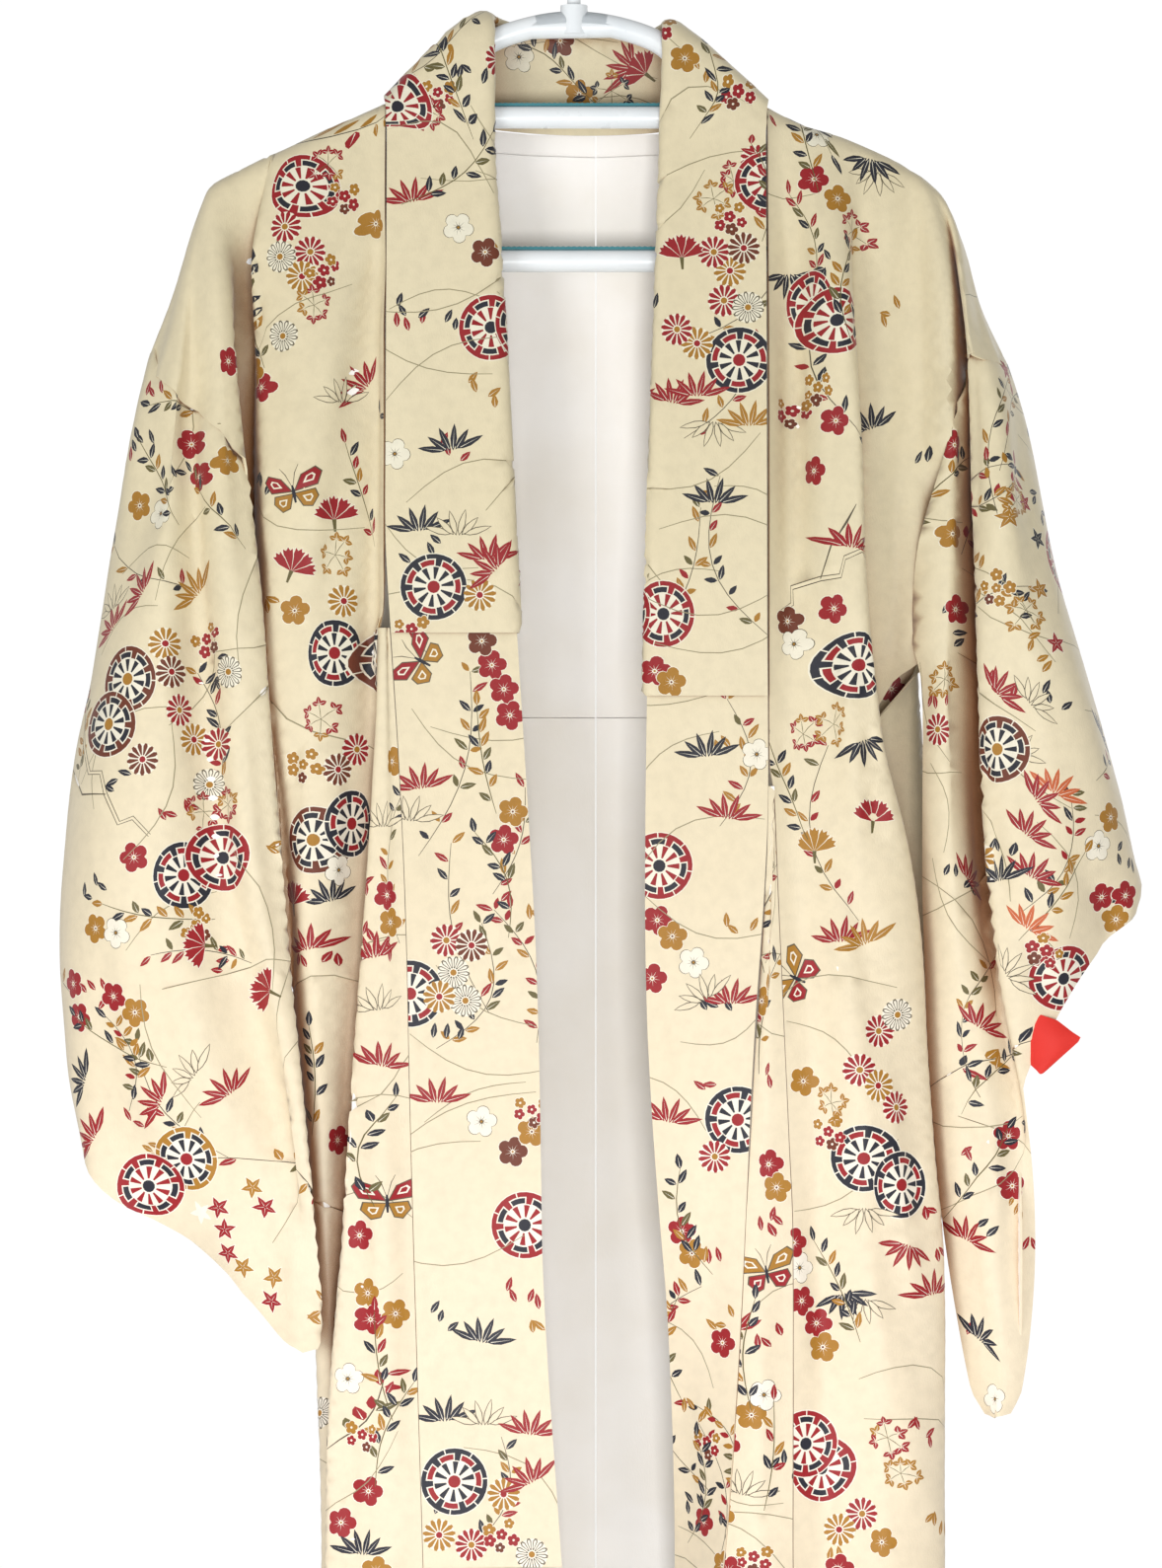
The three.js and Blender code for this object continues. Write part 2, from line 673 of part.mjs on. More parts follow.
function seamDrop(sleeve, i, face, side) {
  const at = (k) => foldPoint(face === 0 ? sleeve[k].front : sleeve[k].back, sleeve[k].seam[face], false);
  const steepness = [i - 1, i + 1].filter((k) => k >= 0 && k < sleeve.length).map((k) => {
    const step = at(k).sub(at(i));
    return Math.abs(step.z) / Math.hypot(step.x, step.y);
  });
  const stretch = Math.hypot(1, Math.min(Math.max(...steepness), STEEPEST_SEAM));
  return sleeve[i].seam[face] + (side * SEAM * stretch) / 2;
}

// One half of the body, front and back in one piece over the shoulder, as it is cut
function bodyPanel(name, neck, body, sleeve) {
  const caps = sleeve.slice(1);
  const cells = [...neck.map(() => 1), ...body.map(() => 2), ...caps.map(() => 2)];
  cells[neck.length + body.length - 1] = 1;
  cells[neck.length + body.length] = 1;
  const lines = [
    ...neck.map(({ back }) => ({
      back, rounded: false, drops: [null, bodyDrops(back[0][0], NECK_CAP_END)],
    })),
    ...body.map(({ front, back, cap }) => ({
      front, back, rounded: true, drops: [bodyDrops(front[0][0], cap[0]), bodyDrops(back[0][0], cap[1])],
    })),
    ...caps.map(({ front, back }, i) => ({
      front, back, rounded: true,
      drops: [
        capDrops(front[0][0], seamDrop(sleeve, i + 1, 0, -1)),
        capDrops(back[0][0], seamDrop(sleeve, i + 1, 1, -1)),
      ],
    })),
  ];
  const levels = lines[neck.length].drops[0].length;
  const row = (face, level) => acrossFolds(lines.map((line) => {
    const drops = line.drops[face];
    const table = face === 0 ? line.front : line.back;
    return drops && level < drops.length ? foldPoint(table, drops[level], line.rounded) : null;
  }), cells);
  const rows = [];
  for (let level = levels - 1; level >= 0; level -= 1) rows.push(row(0, level));
  rows.push(acrossFolds(lines.map(({ front, back, rounded }) => {
    const table = front ?? back;
    return foldPoint(table, table[0][0], rounded);
  }), cells));
  for (let level = 0; level < levels; level += 1) rows.push(row(1, level));
  addMesh(name, wallGeometry(rows, CLOTH), silk);
}

// One sleeve as a flat bag. Its front and back share the top line, which opens at the cuff.
const SLEEVE_ROWS = 12;

function sleeveBag(name, sleeve) {
  const lines = [
    ...sleeve.map(({ front }, i) => ({ table: front, start: seamDrop(sleeve, i, 0, 1) })),
    ...sleeve.map(({ back }, i) => ({ table: back, start: seamDrop(sleeve, i, 1, 1) })).reverse(),
  ];
  const cells = lines.map(() => 2);
  for (const gap of [0, 1, sleeve.length - 1, lines.length - 3, lines.length - 2]) cells[gap] = 1;
  const rows = [];
  for (let i = 0; i <= SLEEVE_ROWS; i += 1) {
    rows.push(acrossFolds(lines.map(({ table, start }) => {
      const end = table[table.length - 1][0];
      return foldPoint(table, start + ((end - start) * i) / SLEEVE_ROWS, false);
    }), cells));
  }
  const topLineCell = (sleeve.length - 1) * 2 - 2;
  const present = (i, j) => j !== topLineCell || i < CUFF_OPENS_AT * SLEEVE_ROWS;
  addMesh(name, wallGeometry(rows, CLOTH, present), silk);
  return rows;
}

// An overlap panel between the collar and the body's front
const OVERLAP_DROPS = [395, 450, 510, 591, 668, 760];

function overlapPanel(name, { top, collarEnd, folds }, collar, body, towardCentre) {
  const drops = [top, ...OVERLAP_DROPS.filter((drop) => drop > top + 20), collarEnd, 1000, 1250, HEM];
  const collarEndLine = collar[collar.length - 1];
  const rows = drops.map((drop) => acrossFolds(folds.map((fold) => {
    if (fold === 'collar seam') {
      const [x, depth] = drop < collarEnd
        ? [atDrop(collar, 2, drop), atDrop(collar, 4, drop)]
        : [collarEndLine[2], collarEndLine[4] - (drop - collarEnd) * 0.005];
      return place(x - towardCentre * (SEAM + OVERLAP_PLAY), depth, drop);
    }
    if (fold === 'body seam') {
      const seam = foldPoint(body[0].front, drop, false);
      const folded = folds.length > 5;
      return seam.add(new THREE.Vector3(towardCentre * (SEAM + OVERLAP_PLAY), folded ? -CLOTH - SEAM : 0, 0));
    }
    return drop >= fold[0][0] ? foldPoint(fold, drop, false) : null;
  }), folds.map(() => 2)));
  addMesh(name, wallGeometry(rows, CLOTH), silk);
}

// Stations of one front of the collar, from a lower drop up to a higher place
function frontStations(table, from, to) {
  const count = Math.round((from - to) / 55);
  const stations = [];
  for (let i = 0; i <= count; i += 1) {
    const drop = from + ((to - from) * i) / count;
    stations.push({
      inner: place(atDrop(table, 1, drop), atDrop(table, 3, drop), drop),
      outer: place(atDrop(table, 2, drop), atDrop(table, 4, drop), drop),
      rise: 0,
    });
  }
  return stations;
}

// The band's middle surface from the wearer's right front, round the neck, to the left front.
// Each row runs from the inner edge to the outer seam.
const BAND_SHARES = [0, 0.2, 0.6, 1];

function collarBand() {
  const end = (table) => table[table.length - 1][0];
  const top = COLLAR_RIGHT[0][0];
  const lowerRight = frontStations(COLLAR_RIGHT, end(COLLAR_RIGHT), OVER_COLLAR_END.right).slice(0, -1);
  const lowerLeft = frontStations(COLLAR_LEFT, end(COLLAR_LEFT), OVER_COLLAR_END.left).slice(0, -1);
  const neck = COLLAR_NECK.map(([xi, di, yi, xo, dOut, yo, rise]) => (
    { inner: place(xi, yi, di), outer: place(xo, yo, dOut), rise }
  ));
  const upper = [
    ...frontStations(COLLAR_RIGHT, OVER_COLLAR_END.right, top),
    ...neck,
    ...frontStations(COLLAR_LEFT, OVER_COLLAR_END.left, top).reverse(),
  ];
  const rows = [...lowerRight, ...upper, ...lowerLeft.reverse()].map(({ inner, outer, rise }) => (
    BAND_SHARES.map((share) => {
      const point = inner.clone().lerp(outer, share);
      point.z += rise * Math.sin(Math.PI * share ** 0.55);
      return point;
    })
  ));
  return { rows, first: lowerRight.length, count: upper.length };
}

function collar() {
  addMesh('collar', wallGeometry(collarBand().rows, COLLAR_CORE), silk);
}

// The over-collar wraps the upper collar round its inner edge
function overCollar() {
  const { rows, first, count } = collarBand();
  const normals = gridNormals(rows, () => true);
  const out = COLLAR_CORE / 2 + WRAP + OVER_COLLAR / 2;
  const sections = [];
  for (let i = first; i < first + count; i += 1) {
    const [row, normal] = [rows[i], normals[i]];
    const edge = row[0].clone().sub(row[1]).normalize().multiplyScalar(out);
    const face = row.map((point, k) => point.clone().addScaledVector(normal[k], out));
    const back = row.map((point, k) => point.clone().addScaledVector(normal[k], -out));
    sections.push([...face.reverse(), row[0].clone().add(edge), ...back]);
  }
  addMesh('over_collar', wallGeometry(sections, OVER_COLLAR), silk);
}

// The lining of the back, which shows through the open front
const LINING_JOIN = 388;
const LINING_STEP = 1.9; // from the middle of the back's cloth to the middle of the lining

function backLining(name, neck, body, from, to) {
  const lines = [...neck.map(({ back }) => back), body[0].back];
  const count = Math.max(4, Math.round((to - from) / 110));
  const rows = [];
  for (let i = 0; i <= count; i += 1) {
    rows.push(lines.map((table) => {
      const drop = Math.max(from, table[0][0] + 12) + ((to - Math.max(from, table[0][0] + 12)) * i) / count;
      const point = foldPoint(table, drop, false);
      point.y -= LINING_STEP;
      return point;
    }));
  }
  addMesh(name, wallGeometry(rows, LINING), liningSilk);
}

// The red lining turned out below the wearer's left cuff, a small flap along the sleeve's lower edge.
// share along that edge from the outer ridge to the outer fold edge, reach below it
const CUFF_FLAP = [[0.04, 4], [0.22, 14], [0.5, 12], [0.85, 5]];
const CUFF_FLAP_COLUMNS = [6, 5, 4];
const CUFF_FLAP_CURL = 2;

function cuffLining(sleeveRows) {
  const lastRow = sleeveRows[sleeveRows.length - 1];
  const edge = new THREE.CatmullRomCurve3(CUFF_FLAP_COLUMNS.map((column) => lastRow[column]));
  const rows = [0, 0.5, 1].map((share) => CUFF_FLAP.map(([along, reach]) => {
    const tangent = edge.getTangent(along);
    const out = new THREE.Vector3(-tangent.z, 0, tangent.x).normalize();
    if (out.z > 0) out.negate();
    const point = edge.getPoint(along).addScaledVector(out, SEAM + (reach - SEAM) * share);
    point.y -= CUFF_FLAP_CURL * share;
    return point;
  }));
  addMesh('cuff_lining_left', wallGeometry(rows, LINING), redSilk);
}

// A round tube along a path, closed into a ring or capped at both ends
function tubeGeometry(points, diameter, sides, ring) {
  const curve = new THREE.CatmullRomCurve3(points, ring, 'centripetal');
  const segments = ring ? points.length : points.length - 1;
  const positions = [];
  const triangles = [];
  const count = ring ? segments : segments + 1;
  for (let i = 0; i < count; i += 1) {
    const centre = curve.getPoint(i / segments);
    const along = curve.getTangent(i / segments);
    const sideways = new THREE.Vector3(0, 1, 0);
    const up = along.clone().cross(sideways).normalize();
    for (let k = 0; k < sides; k += 1) {
      const angle = (2 * Math.PI * k) / sides;
      const point = centre.clone()
        .addScaledVector(up, (Math.cos(angle) * diameter) / 2)
        .addScaledVector(sideways, (Math.sin(angle) * diameter) / 2);
      positions.push(...point.toArray());
    }
  }
  const corner = (i, k) => (i % count) * sides + (k % sides);
  for (let i = 0; i < (ring ? count : count - 1); i += 1) {
    for (let k = 0; k < sides; k += 1) {
      const [a, b, c, d] = [corner(i, k), corner(i, k + 1), corner(i + 1, k + 1), corner(i + 1, k)];
      triangles.push(a, c, b, a, d, c);
    }
  }
  if (!ring) {
    const cap = (i, centre, flip) => {
      const middle = positions.length / 3;
      positions.push(...centre.toArray());
      for (let k = 0; k < sides; k += 1) {
        const [a, b] = [corner(i, k), corner(i, k + 1)];
        triangles.push(...(flip ? [middle, b, a] : [middle, a, b]));
      }
    };
    cap(0, curve.getPoint(0), false);
    cap(count - 1, curve.getPoint(1), true);
  }
  const geometry = new THREE.BufferGeometry();
  geometry.setAttribute('position', new THREE.Float32BufferAttribute(positions, 3));
  geometry.setIndex(triangles);
  return geometry;
}

function toSolid(geometry) {
  const vertProperties = new Float32Array(geometry.attributes.position.array);
  const triVerts = new Uint32Array(geometry.index.array);
  const solid = new wasm.Manifold(new wasm.Mesh({ numProp: 3, vertProperties, triVerts }));
  if (solid.volume() > 0) return solid;
  for (let i = 0; i < triVerts.length; i += 3) {
    [triVerts[i], triVerts[i + 1]] = [triVerts[i + 1], triVerts[i]];
  }
  return new wasm.Manifold(new wasm.Mesh({ numProp: 3, vertProperties, triVerts }));
}

function toGeometry(solid) {
  const mesh = solid.getMesh();
  const geometry = new THREE.BufferGeometry();
  geometry.setAttribute('position', new THREE.Float32BufferAttribute(mesh.vertProperties, 3));
  geometry.setIndex(Array.from(mesh.triVerts));
  geometry.computeVertexNormals();
  return geometry;
}

// Centre line of the hanger's closed frame: arch, arms, round ends and bottom bar
function framePoints() {
  const half = ARCH.map(([x, drop], i) => {
    const [before, after] = [ARCH[Math.max(i - 1, 0)], ARCH[Math.min(i + 1, ARCH.length - 1)]];
    const slope = Math.atan2(after[1] - before[1], after[0] - before[0]);
    const leaning = i === 0 ? 0 : slope;
    return [x - (TUBE / 2) * Math.sin(leaning), drop + (TUBE / 2) * Math.cos(leaning)];
  });
  for (const angle of [-65, -30, 0, 30, 60, 90]) {
    const turn = THREE.MathUtils.degToRad(angle);
    half.push([ARM_END.x + ARM_END.radius * Math.cos(turn), ARM_END.drop + ARM_END.radius * Math.sin(turn)]);
  }
  const bottom = ARM_END.drop + ARM_END.radius;
  half.push([120, bottom], [60, bottom]);
  const rightHalf = half.map(([x, drop]) => place(x, 0, drop));
  const leftHalf = half.slice(1).reverse().map(([x, drop]) => place(-x, 0, drop));
  return [...rightHalf, place(0, 0, bottom), ...leftHalf];
}

function hanger() {
  const upperBar = [-1, -0.5, 0, 0.5, 1].map((t) => place(t * UPPER_BAR.half, 0, UPPER_BAR.drop));
  const boss = [-4, 0, 6, 12].map((rise) => place(0, 0, 9 - rise));
  const frame = toSolid(tubeGeometry(framePoints(), TUBE, 12, true))
    .add(toSolid(tubeGeometry(upperBar, TUBE, 12, false)))
    .add(toSolid(tubeGeometry(boss, 15, 12, false)));
  const socketLine = [-20, -3, 3, 9].map((drop) => place(0, 0, drop));
  const socket = toSolid(tubeGeometry(socketLine, HOOK_WIRE + 2 * SEAM, 12, false));
  const bottom = ARM_END.drop + ARM_END.radius;
  const cutForGrip = (solid, drop, half) => solid.subtract(gripSolid(drop, half + SEAM, SEAM));
  const cut = cutForGrip(cutForGrip(frame.subtract(socket), UPPER_BAR.drop, 80), bottom, 150);
  addMesh('hanger_frame', toGeometry(cut), whitePlastic);
  addMesh('grip_strip_upper', toGeometry(gripSolid(UPPER_BAR.drop, 80, 0)), gripRubber);
  addMesh('grip_strip_lower', toGeometry(gripSolid(bottom, 150, 0)), gripRubber);
}

// A thin anti-slip strip set into the top of a bar, grown all round where it cuts its own groove
function gripSolid(drop, half, grow) {
  const box = new THREE.BoxGeometry(2 * half, GRIP.width + 2 * grow, GRIP.thickness + 2 * grow);
  box.translate(0, 0, -HOOK_DROP - drop + TUBE / 2 + 0.3 - GRIP.thickness / 2);
  box.deleteAttribute('normal');
  box.deleteAttribute('uv');
  return toSolid(mergedCorners(box));
}

// Joins the corners that a box geometry repeats for each of its faces
function mergedCorners(geometry) {
  const source = geometry.attributes.position;
  const found = new Map();
  const positions = [];
  const remap = [];
  for (let i = 0; i < source.count; i += 1) {
    const corner = [source.getX(i), source.getY(i), source.getZ(i)];
    const key = corner.map((value) => value.toFixed(4)).join();
    if (!found.has(key)) {
      found.set(key, positions.length / 3);
      positions.push(...corner);
    }
    remap.push(found.get(key));
  }
  const merged = new THREE.BufferGeometry();
  merged.setAttribute('position', new THREE.Float32BufferAttribute(positions, 3));
  merged.setIndex(Array.from(geometry.index.array, (i) => remap[i]));
  return merged;
}

function hook() {
  const bow = 20 + HOOK_WIRE / 2;
  const points = [];
  for (const angle of [205, 180, 150, 120, 90, 60, 30, 0, -30]) {
    const turn = THREE.MathUtils.degToRad(angle);
    points.push(new THREE.Vector3(bow * Math.cos(turn), 0, bow * Math.sin(turn) - 20));
  }
  points.push(new THREE.Vector3(8, 0, -44), new THREE.Vector3(0.8, 0, -54), new THREE.Vector3(0, 0, -66));
  points.push(place(0, 0, 2.5));
  addMesh('hanger_hook', toGeometry(toSolid(tubeGeometry(points, HOOK_WIRE, 10, false))), whitePlastic);
}

hanger();
hook();
bodyPanel('body_right', NECK_RIGHT, BODY_RIGHT, SLEEVE_RIGHT);
bodyPanel('body_left', NECK_LEFT, BODY_LEFT, SLEEVE_LEFT);
sleeveBag('sleeve_right', SLEEVE_RIGHT);
const leftSleeveRows = sleeveBag('sleeve_left', SLEEVE_LEFT);
overlapPanel('overlap_right', OVERLAP_RIGHT, COLLAR_RIGHT, BODY_RIGHT, 1);
overlapPanel('overlap_left', OVERLAP_LEFT, COLLAR_LEFT, BODY_LEFT, -1);
collar();
overCollar();
backLining('lining_upper_right', NECK_RIGHT, BODY_RIGHT, 75, LINING_JOIN);
backLining('lining_upper_left', NECK_LEFT, BODY_LEFT, 75, LINING_JOIN);
backLining('lining_lower_right', NECK_RIGHT, BODY_RIGHT, LINING_JOIN + SEAM, HEM - 6);
backLining('lining_lower_left', NECK_LEFT, BODY_LEFT, LINING_JOIN + SEAM, HEM - 6);
cuffLining(leftSleeveRows);

export default kimono;
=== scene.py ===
"""A long-sleeved silk kimono that hangs open on a closed plastic hanger.

Lengths are millimetres until a mesh is made. x and depth are as the garment hangs, and a drop is the
distance below the top of the hanger's arch. The front faces -Y. Right and left are the wearer's.
"""

import math

import bpy
import numpy as np
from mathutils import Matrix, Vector
from mathutils.geometry import delaunay_2d_cdt


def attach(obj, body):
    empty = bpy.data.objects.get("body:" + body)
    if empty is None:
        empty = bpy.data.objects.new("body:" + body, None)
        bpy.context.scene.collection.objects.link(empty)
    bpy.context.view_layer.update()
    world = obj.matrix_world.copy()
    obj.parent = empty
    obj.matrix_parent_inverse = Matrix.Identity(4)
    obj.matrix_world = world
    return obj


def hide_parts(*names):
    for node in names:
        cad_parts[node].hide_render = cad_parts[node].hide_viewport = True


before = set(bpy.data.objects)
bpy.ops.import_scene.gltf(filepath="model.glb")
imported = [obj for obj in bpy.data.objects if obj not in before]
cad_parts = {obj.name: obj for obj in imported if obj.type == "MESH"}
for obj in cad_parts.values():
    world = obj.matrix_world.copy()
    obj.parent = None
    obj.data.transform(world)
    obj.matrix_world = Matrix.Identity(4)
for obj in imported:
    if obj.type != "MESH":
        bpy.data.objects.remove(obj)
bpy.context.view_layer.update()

# Driving dimensions, as in the solids
MM = 0.001
HOOK_DROP = 75  # inside top of the hook down to the top of the arch
HEM = 1650  # drop of the hem
CLOTH = 1.2  # thicknesses
LINING = 0.8
COLLAR_CORE = 1.8
OVER_COLLAR = 1.0
WRAP = 1.3  # space between the two collar bands
SEAM = 0.35  # half the gap between sewn pieces
SHOULDER_ROUND = 8  # drop within which cloth rounds over the arm
TUBE = 12.5  # diameters
HOOK_WIRE = 7.5

# The photo's scale, used to place the print and the small creases
PHOTO_MM = 0.545  # millimetres a pixel
PHOTO_CENTRE = 582  # pixel column of the hanger's middle
PHOTO_TOP = 15  # pixel row of the top of the arch

# The camera, in metres: its distance, the height of its view at the garment, and where it stands
VIEW_DISTANCE = 3.0
VIEW_HEIGHT = 0.862
VIEW_X = 0.0038
VIEW_Z = -0.4998
FLOOR_Z = -1.95


# Shapes. Lines and folds are rows of numbers, mostly a drop, an x and a depth; hem stands for HEM.
def numbers(*texts):
    """The rows of numbers in a text, parted by commas."""
    words = [row.split() for row in ", ".join(texts).split(",")]
    return [[HEM if word == "hem" else float(word) for word in row] for row in words]


# The collar's inner and outer edges on each front: drop, inner x, outer x, inner depth, outer depth
COLLAR_RIGHT = numbers(
    "70 -46 -102.5 -11.5 -12, 120 -43 -102.5 -17 -18, 200 -38.5 -102.5 -25 -26, 300 -33.5 -102.3 -31 -32",
    "343 -31 -99.5 -33 -34, 430 -25.5 -94 -38 -38, 515 -20.7 -90.6 -41 -41, 591 -18.5 -89 -43 -43",
    "700 -16.4 -86 -44 -45, 850 -6.5 -81.5 -43 -47",
)
COLLAR_LEFT = numbers(
    "70 49.5 105 -11.5 -12, 120 47.7 105 -17 -18, 200 45 105 -25 -27, 319 40.9 105 -32 -34",
    "455 38.7 104.8 -38 -41, 526 39 100 -39 -44, 580 41 96.5 -38 -46, 640 45 94 -34 -47",
    "717 51.5 90.5 -26 -48, 809 55 84.5 -16 -48, 870 56 79 -10 -48",
)
OVER_COLLAR_END = {"right": 343, "left": 376}  # drops
# The collar over the arm and round the back of the neck: inner x, drop, depth, outer x, drop, depth,
# rise of the middle
COLLAR_NECK = numbers(
    "-46 21 -10.3 -102.5 61 -10.8 2, -46.2 8 -7.5 -102.3 51 -7.5 6, -46.5 3.5 0 -101.8 48.5 0 8",
    "-45.7 3.5 4.4 -100.2 48.8 4.4 7, -44 4 8 -98 50 8 5, -36 7 12.5 -86 56 13 2, -16 11 15 -52 62 18 0",
    "10 13 15.5 10 66 21 0, 34 12 15 66 62 18 0, 47 9.5 12.5 92 57 13 1, 50.5 7.5 8 101.5 52 8 2",
    "51.5 7 0 104.4 50.5 0 3, 51 11 -8 104.8 52.5 -7.5 3, 50.7 25 -10.6 105 62 -10.8 1",
)

# The folds of each body panel, from the centre back outwards. A line's first row lies on the shoulder
# or the neck.
NECK_RIGHT = [
    {  # centre seam
        "back": numbers("66.5 11.7 21, 150 11.7 25, 300 11.7 27, 860 11.7 30, hem 11.7 34"),
    },
    {  # back ridge
        "back": numbers("65.5 -25 20, 150 -25 26, 300 -26 29, 860 -28 32, hem -30 38"),
    },
    {  # back valley
        "back": numbers("62 -62 17, 150 -63 24, 300 -64 27, 860 -66 28, hem -70 30"),
    },
    {  # neck side
        "back": numbers("57.5 -91 12.5, 150 -94 21, 300 -95 26, 860 -98 27, hem -104 32"),
    },
]
BODY_RIGHT = [
    {  # collar and overlap seam
        "front": numbers(
            "51 -103.3 -8, 70 -103.4 -12, 120 -103.4 -18, 200 -103.4 -26, 300 -103.2 -32",
            "330 -103.4 -31.5, 348 -107.5 -30.5, 372 -105 -28.5, 410 -101 -27, 510 -98 -27, 860 -92 -26",
            "hem -92 -28",
        ),
        "back": numbers(
            "51 -103.3 8, 120 -108 18, 200 -110 22, 300 -112 25, 860 -112 25, hem -118 30",
        ),
    },
    {  # valley beside the collar
        "front": numbers(
            "55.5 -113 -8, 120 -111 -15, 200 -110.5 -20, 300 -111.5 -25, 395 -114 -28, 510 -121 -29",
            "591 -125 -29, 668 -127 -27, 860 -124 -25, hem -130 -26",
        ),
        "back": numbers(
            "55.5 -113 8, 120 -118 17, 200 -121 22, 300 -124 25, 860 -120 24, hem -128 26",
        ),
    },
    {  # broad front ridge
        "front": numbers(
            "65 -135 -8, 120 -130 -20, 200 -134 -32, 300 -137 -39, 395 -140 -42, 510 -141 -42",
            "591 -138 -39, 646 -136 -35, 722 -134 -28, 860 -131 -22, hem -142 -22",
        ),
        "back": numbers(
            "65 -135 8, 120 -137 16, 200 -140 22, 300 -144 25, 500 -136 23, 860 -128 20, hem -140 20",
        ),
    },
    {  # front fold edge
        "front": numbers(
            "76 -158 -8, 133 -170 -20, 188 -167 -27, 253 -166 -32, 297 -166 -34, 373 -162.5 -36",
            "428 -159 -36, 482 -156 -35, 537 -152 -33, 591 -147.5 -29, 646 -144 -25, 722 -141 -19",
            "860 -138 -13, hem -150 -13",
        ),
        "back": numbers(
            "76 -158 8, 120 -158 15, 200 -160 20, 300 -163 22, 400 -160 21, 500 -150 18, 600 -143 14",
            "860 -138 12, hem -150 12",
        ),
    },
    {  # side edge
        "front": numbers(
            "82 -172 -8, 133 -176 -9, 200 -179 -9, 300 -179 -9, 400 -172 -8, 470 -160 -5, 540 -140 -1",
            "600 -118 -0.9, 700 -104 -0.9, 860 -101 -0.9, hem -108 -0.9",
        ),
        "back": numbers(
            "82 -172 8, 133 -173 13, 200 -175 15, 300 -176 14, 400 -172 12, 470 -160 8, 540 -140 1",
            "600 -118 0.9, 700 -104 0.9, 860 -101 0.9, hem -108 0.9",
        ),
    },
]

# The folds of each sleeve, from its inner edge outwards. A seam is the drops at which the fold crosses
# the armhole, in front and at the back. Above it the fold belongs to the body's shoulder.
SLEEVE_RIGHT = [
    {  # inner edge
        "seam": (400, 400),
        "front": numbers(
            "400 -174.5 -10.5, 470 -168 -15, 526 -162 -22, 600 -154 -29, 660 -149 -33, 727 -143.5 -36",
        ),
        "back": numbers(
            "400 -174.5 14.5, 470 -169 13.5, 526 -164 8, 600 -157 -7, 660 -151 -22, 727 -139 -31",
        ),
    },
    {  # bottom of the deep fold
        "seam": (320, 330),
        "front": numbers(
            "85 -178 -8, 133 -183 -11, 200 -187 -12, 320 -185 -13, 400 -178 -14, 470 -173 -18",
            "526 -168 -24, 600 -160 -30, 660 -155 -34, 729 -150 -37",
        ),
        "back": numbers(
            "85 -178 8, 150 -178 17, 330 -178 22, 400 -175 21, 526 -167 12, 600 -160 -2, 660 -154 -18",
            "729 -140 -31.5",
        ),
    },
    {  # sleeve fold edge
        "seam": (248, 270),
        "front": numbers(
            "89 -186 -8, 109 -192 -13, 150 -188 -24, 188 -184.5 -30, 248 -179 -36, 319 -171 -42",
            "395 -165 -45, 466 -159 -47, 526 -154 -49, 591 -147 -50, 646 -142 -49, 717 -137 -43",
            "731 -139 -41",
        ),
        "back": numbers(
            "89 -186 8, 150 -184 18, 270 -183 26, 373 -176 27, 482 -170 23, 591 -161 6, 660 -155 -14",
            "731 -142 -32",
        ),
    },
    {  # bright ridge
        "seam": (237, 245),
        "front": numbers(
            "93 -194 -8, 109 -199 -14, 150 -196 -28, 188 -193 -36, 237 -189 -42, 319 -183 -48",
            "395 -177 -51, 466 -170 -53, 526 -164 -54, 591 -156 -54, 646 -150 -51, 717 -147 -44",
            "733 -147 -41",
        ),
        "back": numbers(
            "93 -194 8, 150 -193 18, 245 -190 27, 297 -187 30, 428 -178 30, 537 -170 22, 640 -158 -4",
            "732 -148 -32",
        ),
    },
    {  # soft valley
        "seam": (222, 225),
        "front": numbers(
            "97.5 -200 -8, 120 -204 -14, 160 -207 -20, 222 -205 -28, 297 -201 -33, 373 -196 -37",
            "428 -189 -40, 482 -184 -42, 537 -175 -43, 629 -160 -43, 700 -157 -40, 727 -157 -37",
        ),
        "back": numbers(
            "97.5 -200 8, 150 -204 16, 225 -204 26, 297 -202 30, 428 -192 32, 537 -182 26, 640 -166 0",
            "726 -157 -32",
        ),
    },
    {  # outer ridge
        "seam": (212, 212),
        "front": numbers(
            "114 -207 -6, 150 -212 -16, 212 -216 -34, 297 -222 -44, 373 -224 -49, 428 -226 -53",
            "482 -226 -55, 537 -222 -55, 600 -208 -50, 660 -192 -38, 702 -180 -30",
        ),
        "back": numbers(
            "114 -207 6, 150 -212 12, 212 -216 22, 297 -222 28, 428 -226 32, 537 -222 26, 640 -198 4",
            "701 -180 -25",
        ),
    },
    {  # shoulder of the roll
        "seam": (203, 203),
        "front": numbers(
            "150 -217.5 -5, 175 -222 -12, 203 -226.5 -22, 297 -241 -30, 373 -250 -36, 428 -257 -40",
            "482 -261 -42, 537 -260 -42, 600 -248 -34, 650 -233 -26, 666 -222 -22",
        ),
        "back": numbers(
            "150 -217.5 5, 175 -222 10, 203 -226.5 16, 297 -241 20, 428 -257 24, 537 -260 22, 600 -249 8",
            "665 -222 -17",
        ),
    },
    {  # top line and cuff
        "seam": (197.5, 197.5),
        "front": numbers(
            "187 -231.5 -3.5, 197.5 -234.5 -3.5, 253 -246 -3.5, 297 -254 -3.5, 368 -265 -3.5",
            "411 -274 -3.5, 471 -280 -3.5, 515 -282 -4, 564 -279 -7, 591 -276 -9, 627 -268 -12",
        ),
        "back": numbers(
            "187 -231.5 3.5, 197.5 -234.5 3.5, 253 -246 3.5, 297 -254 3.5, 368 -265 3.5, 411 -274 3.5",
            "471 -280 3.5, 515 -282 4, 564 -279 5, 591 -276 4, 625 -266 2",
        ),
    },
]

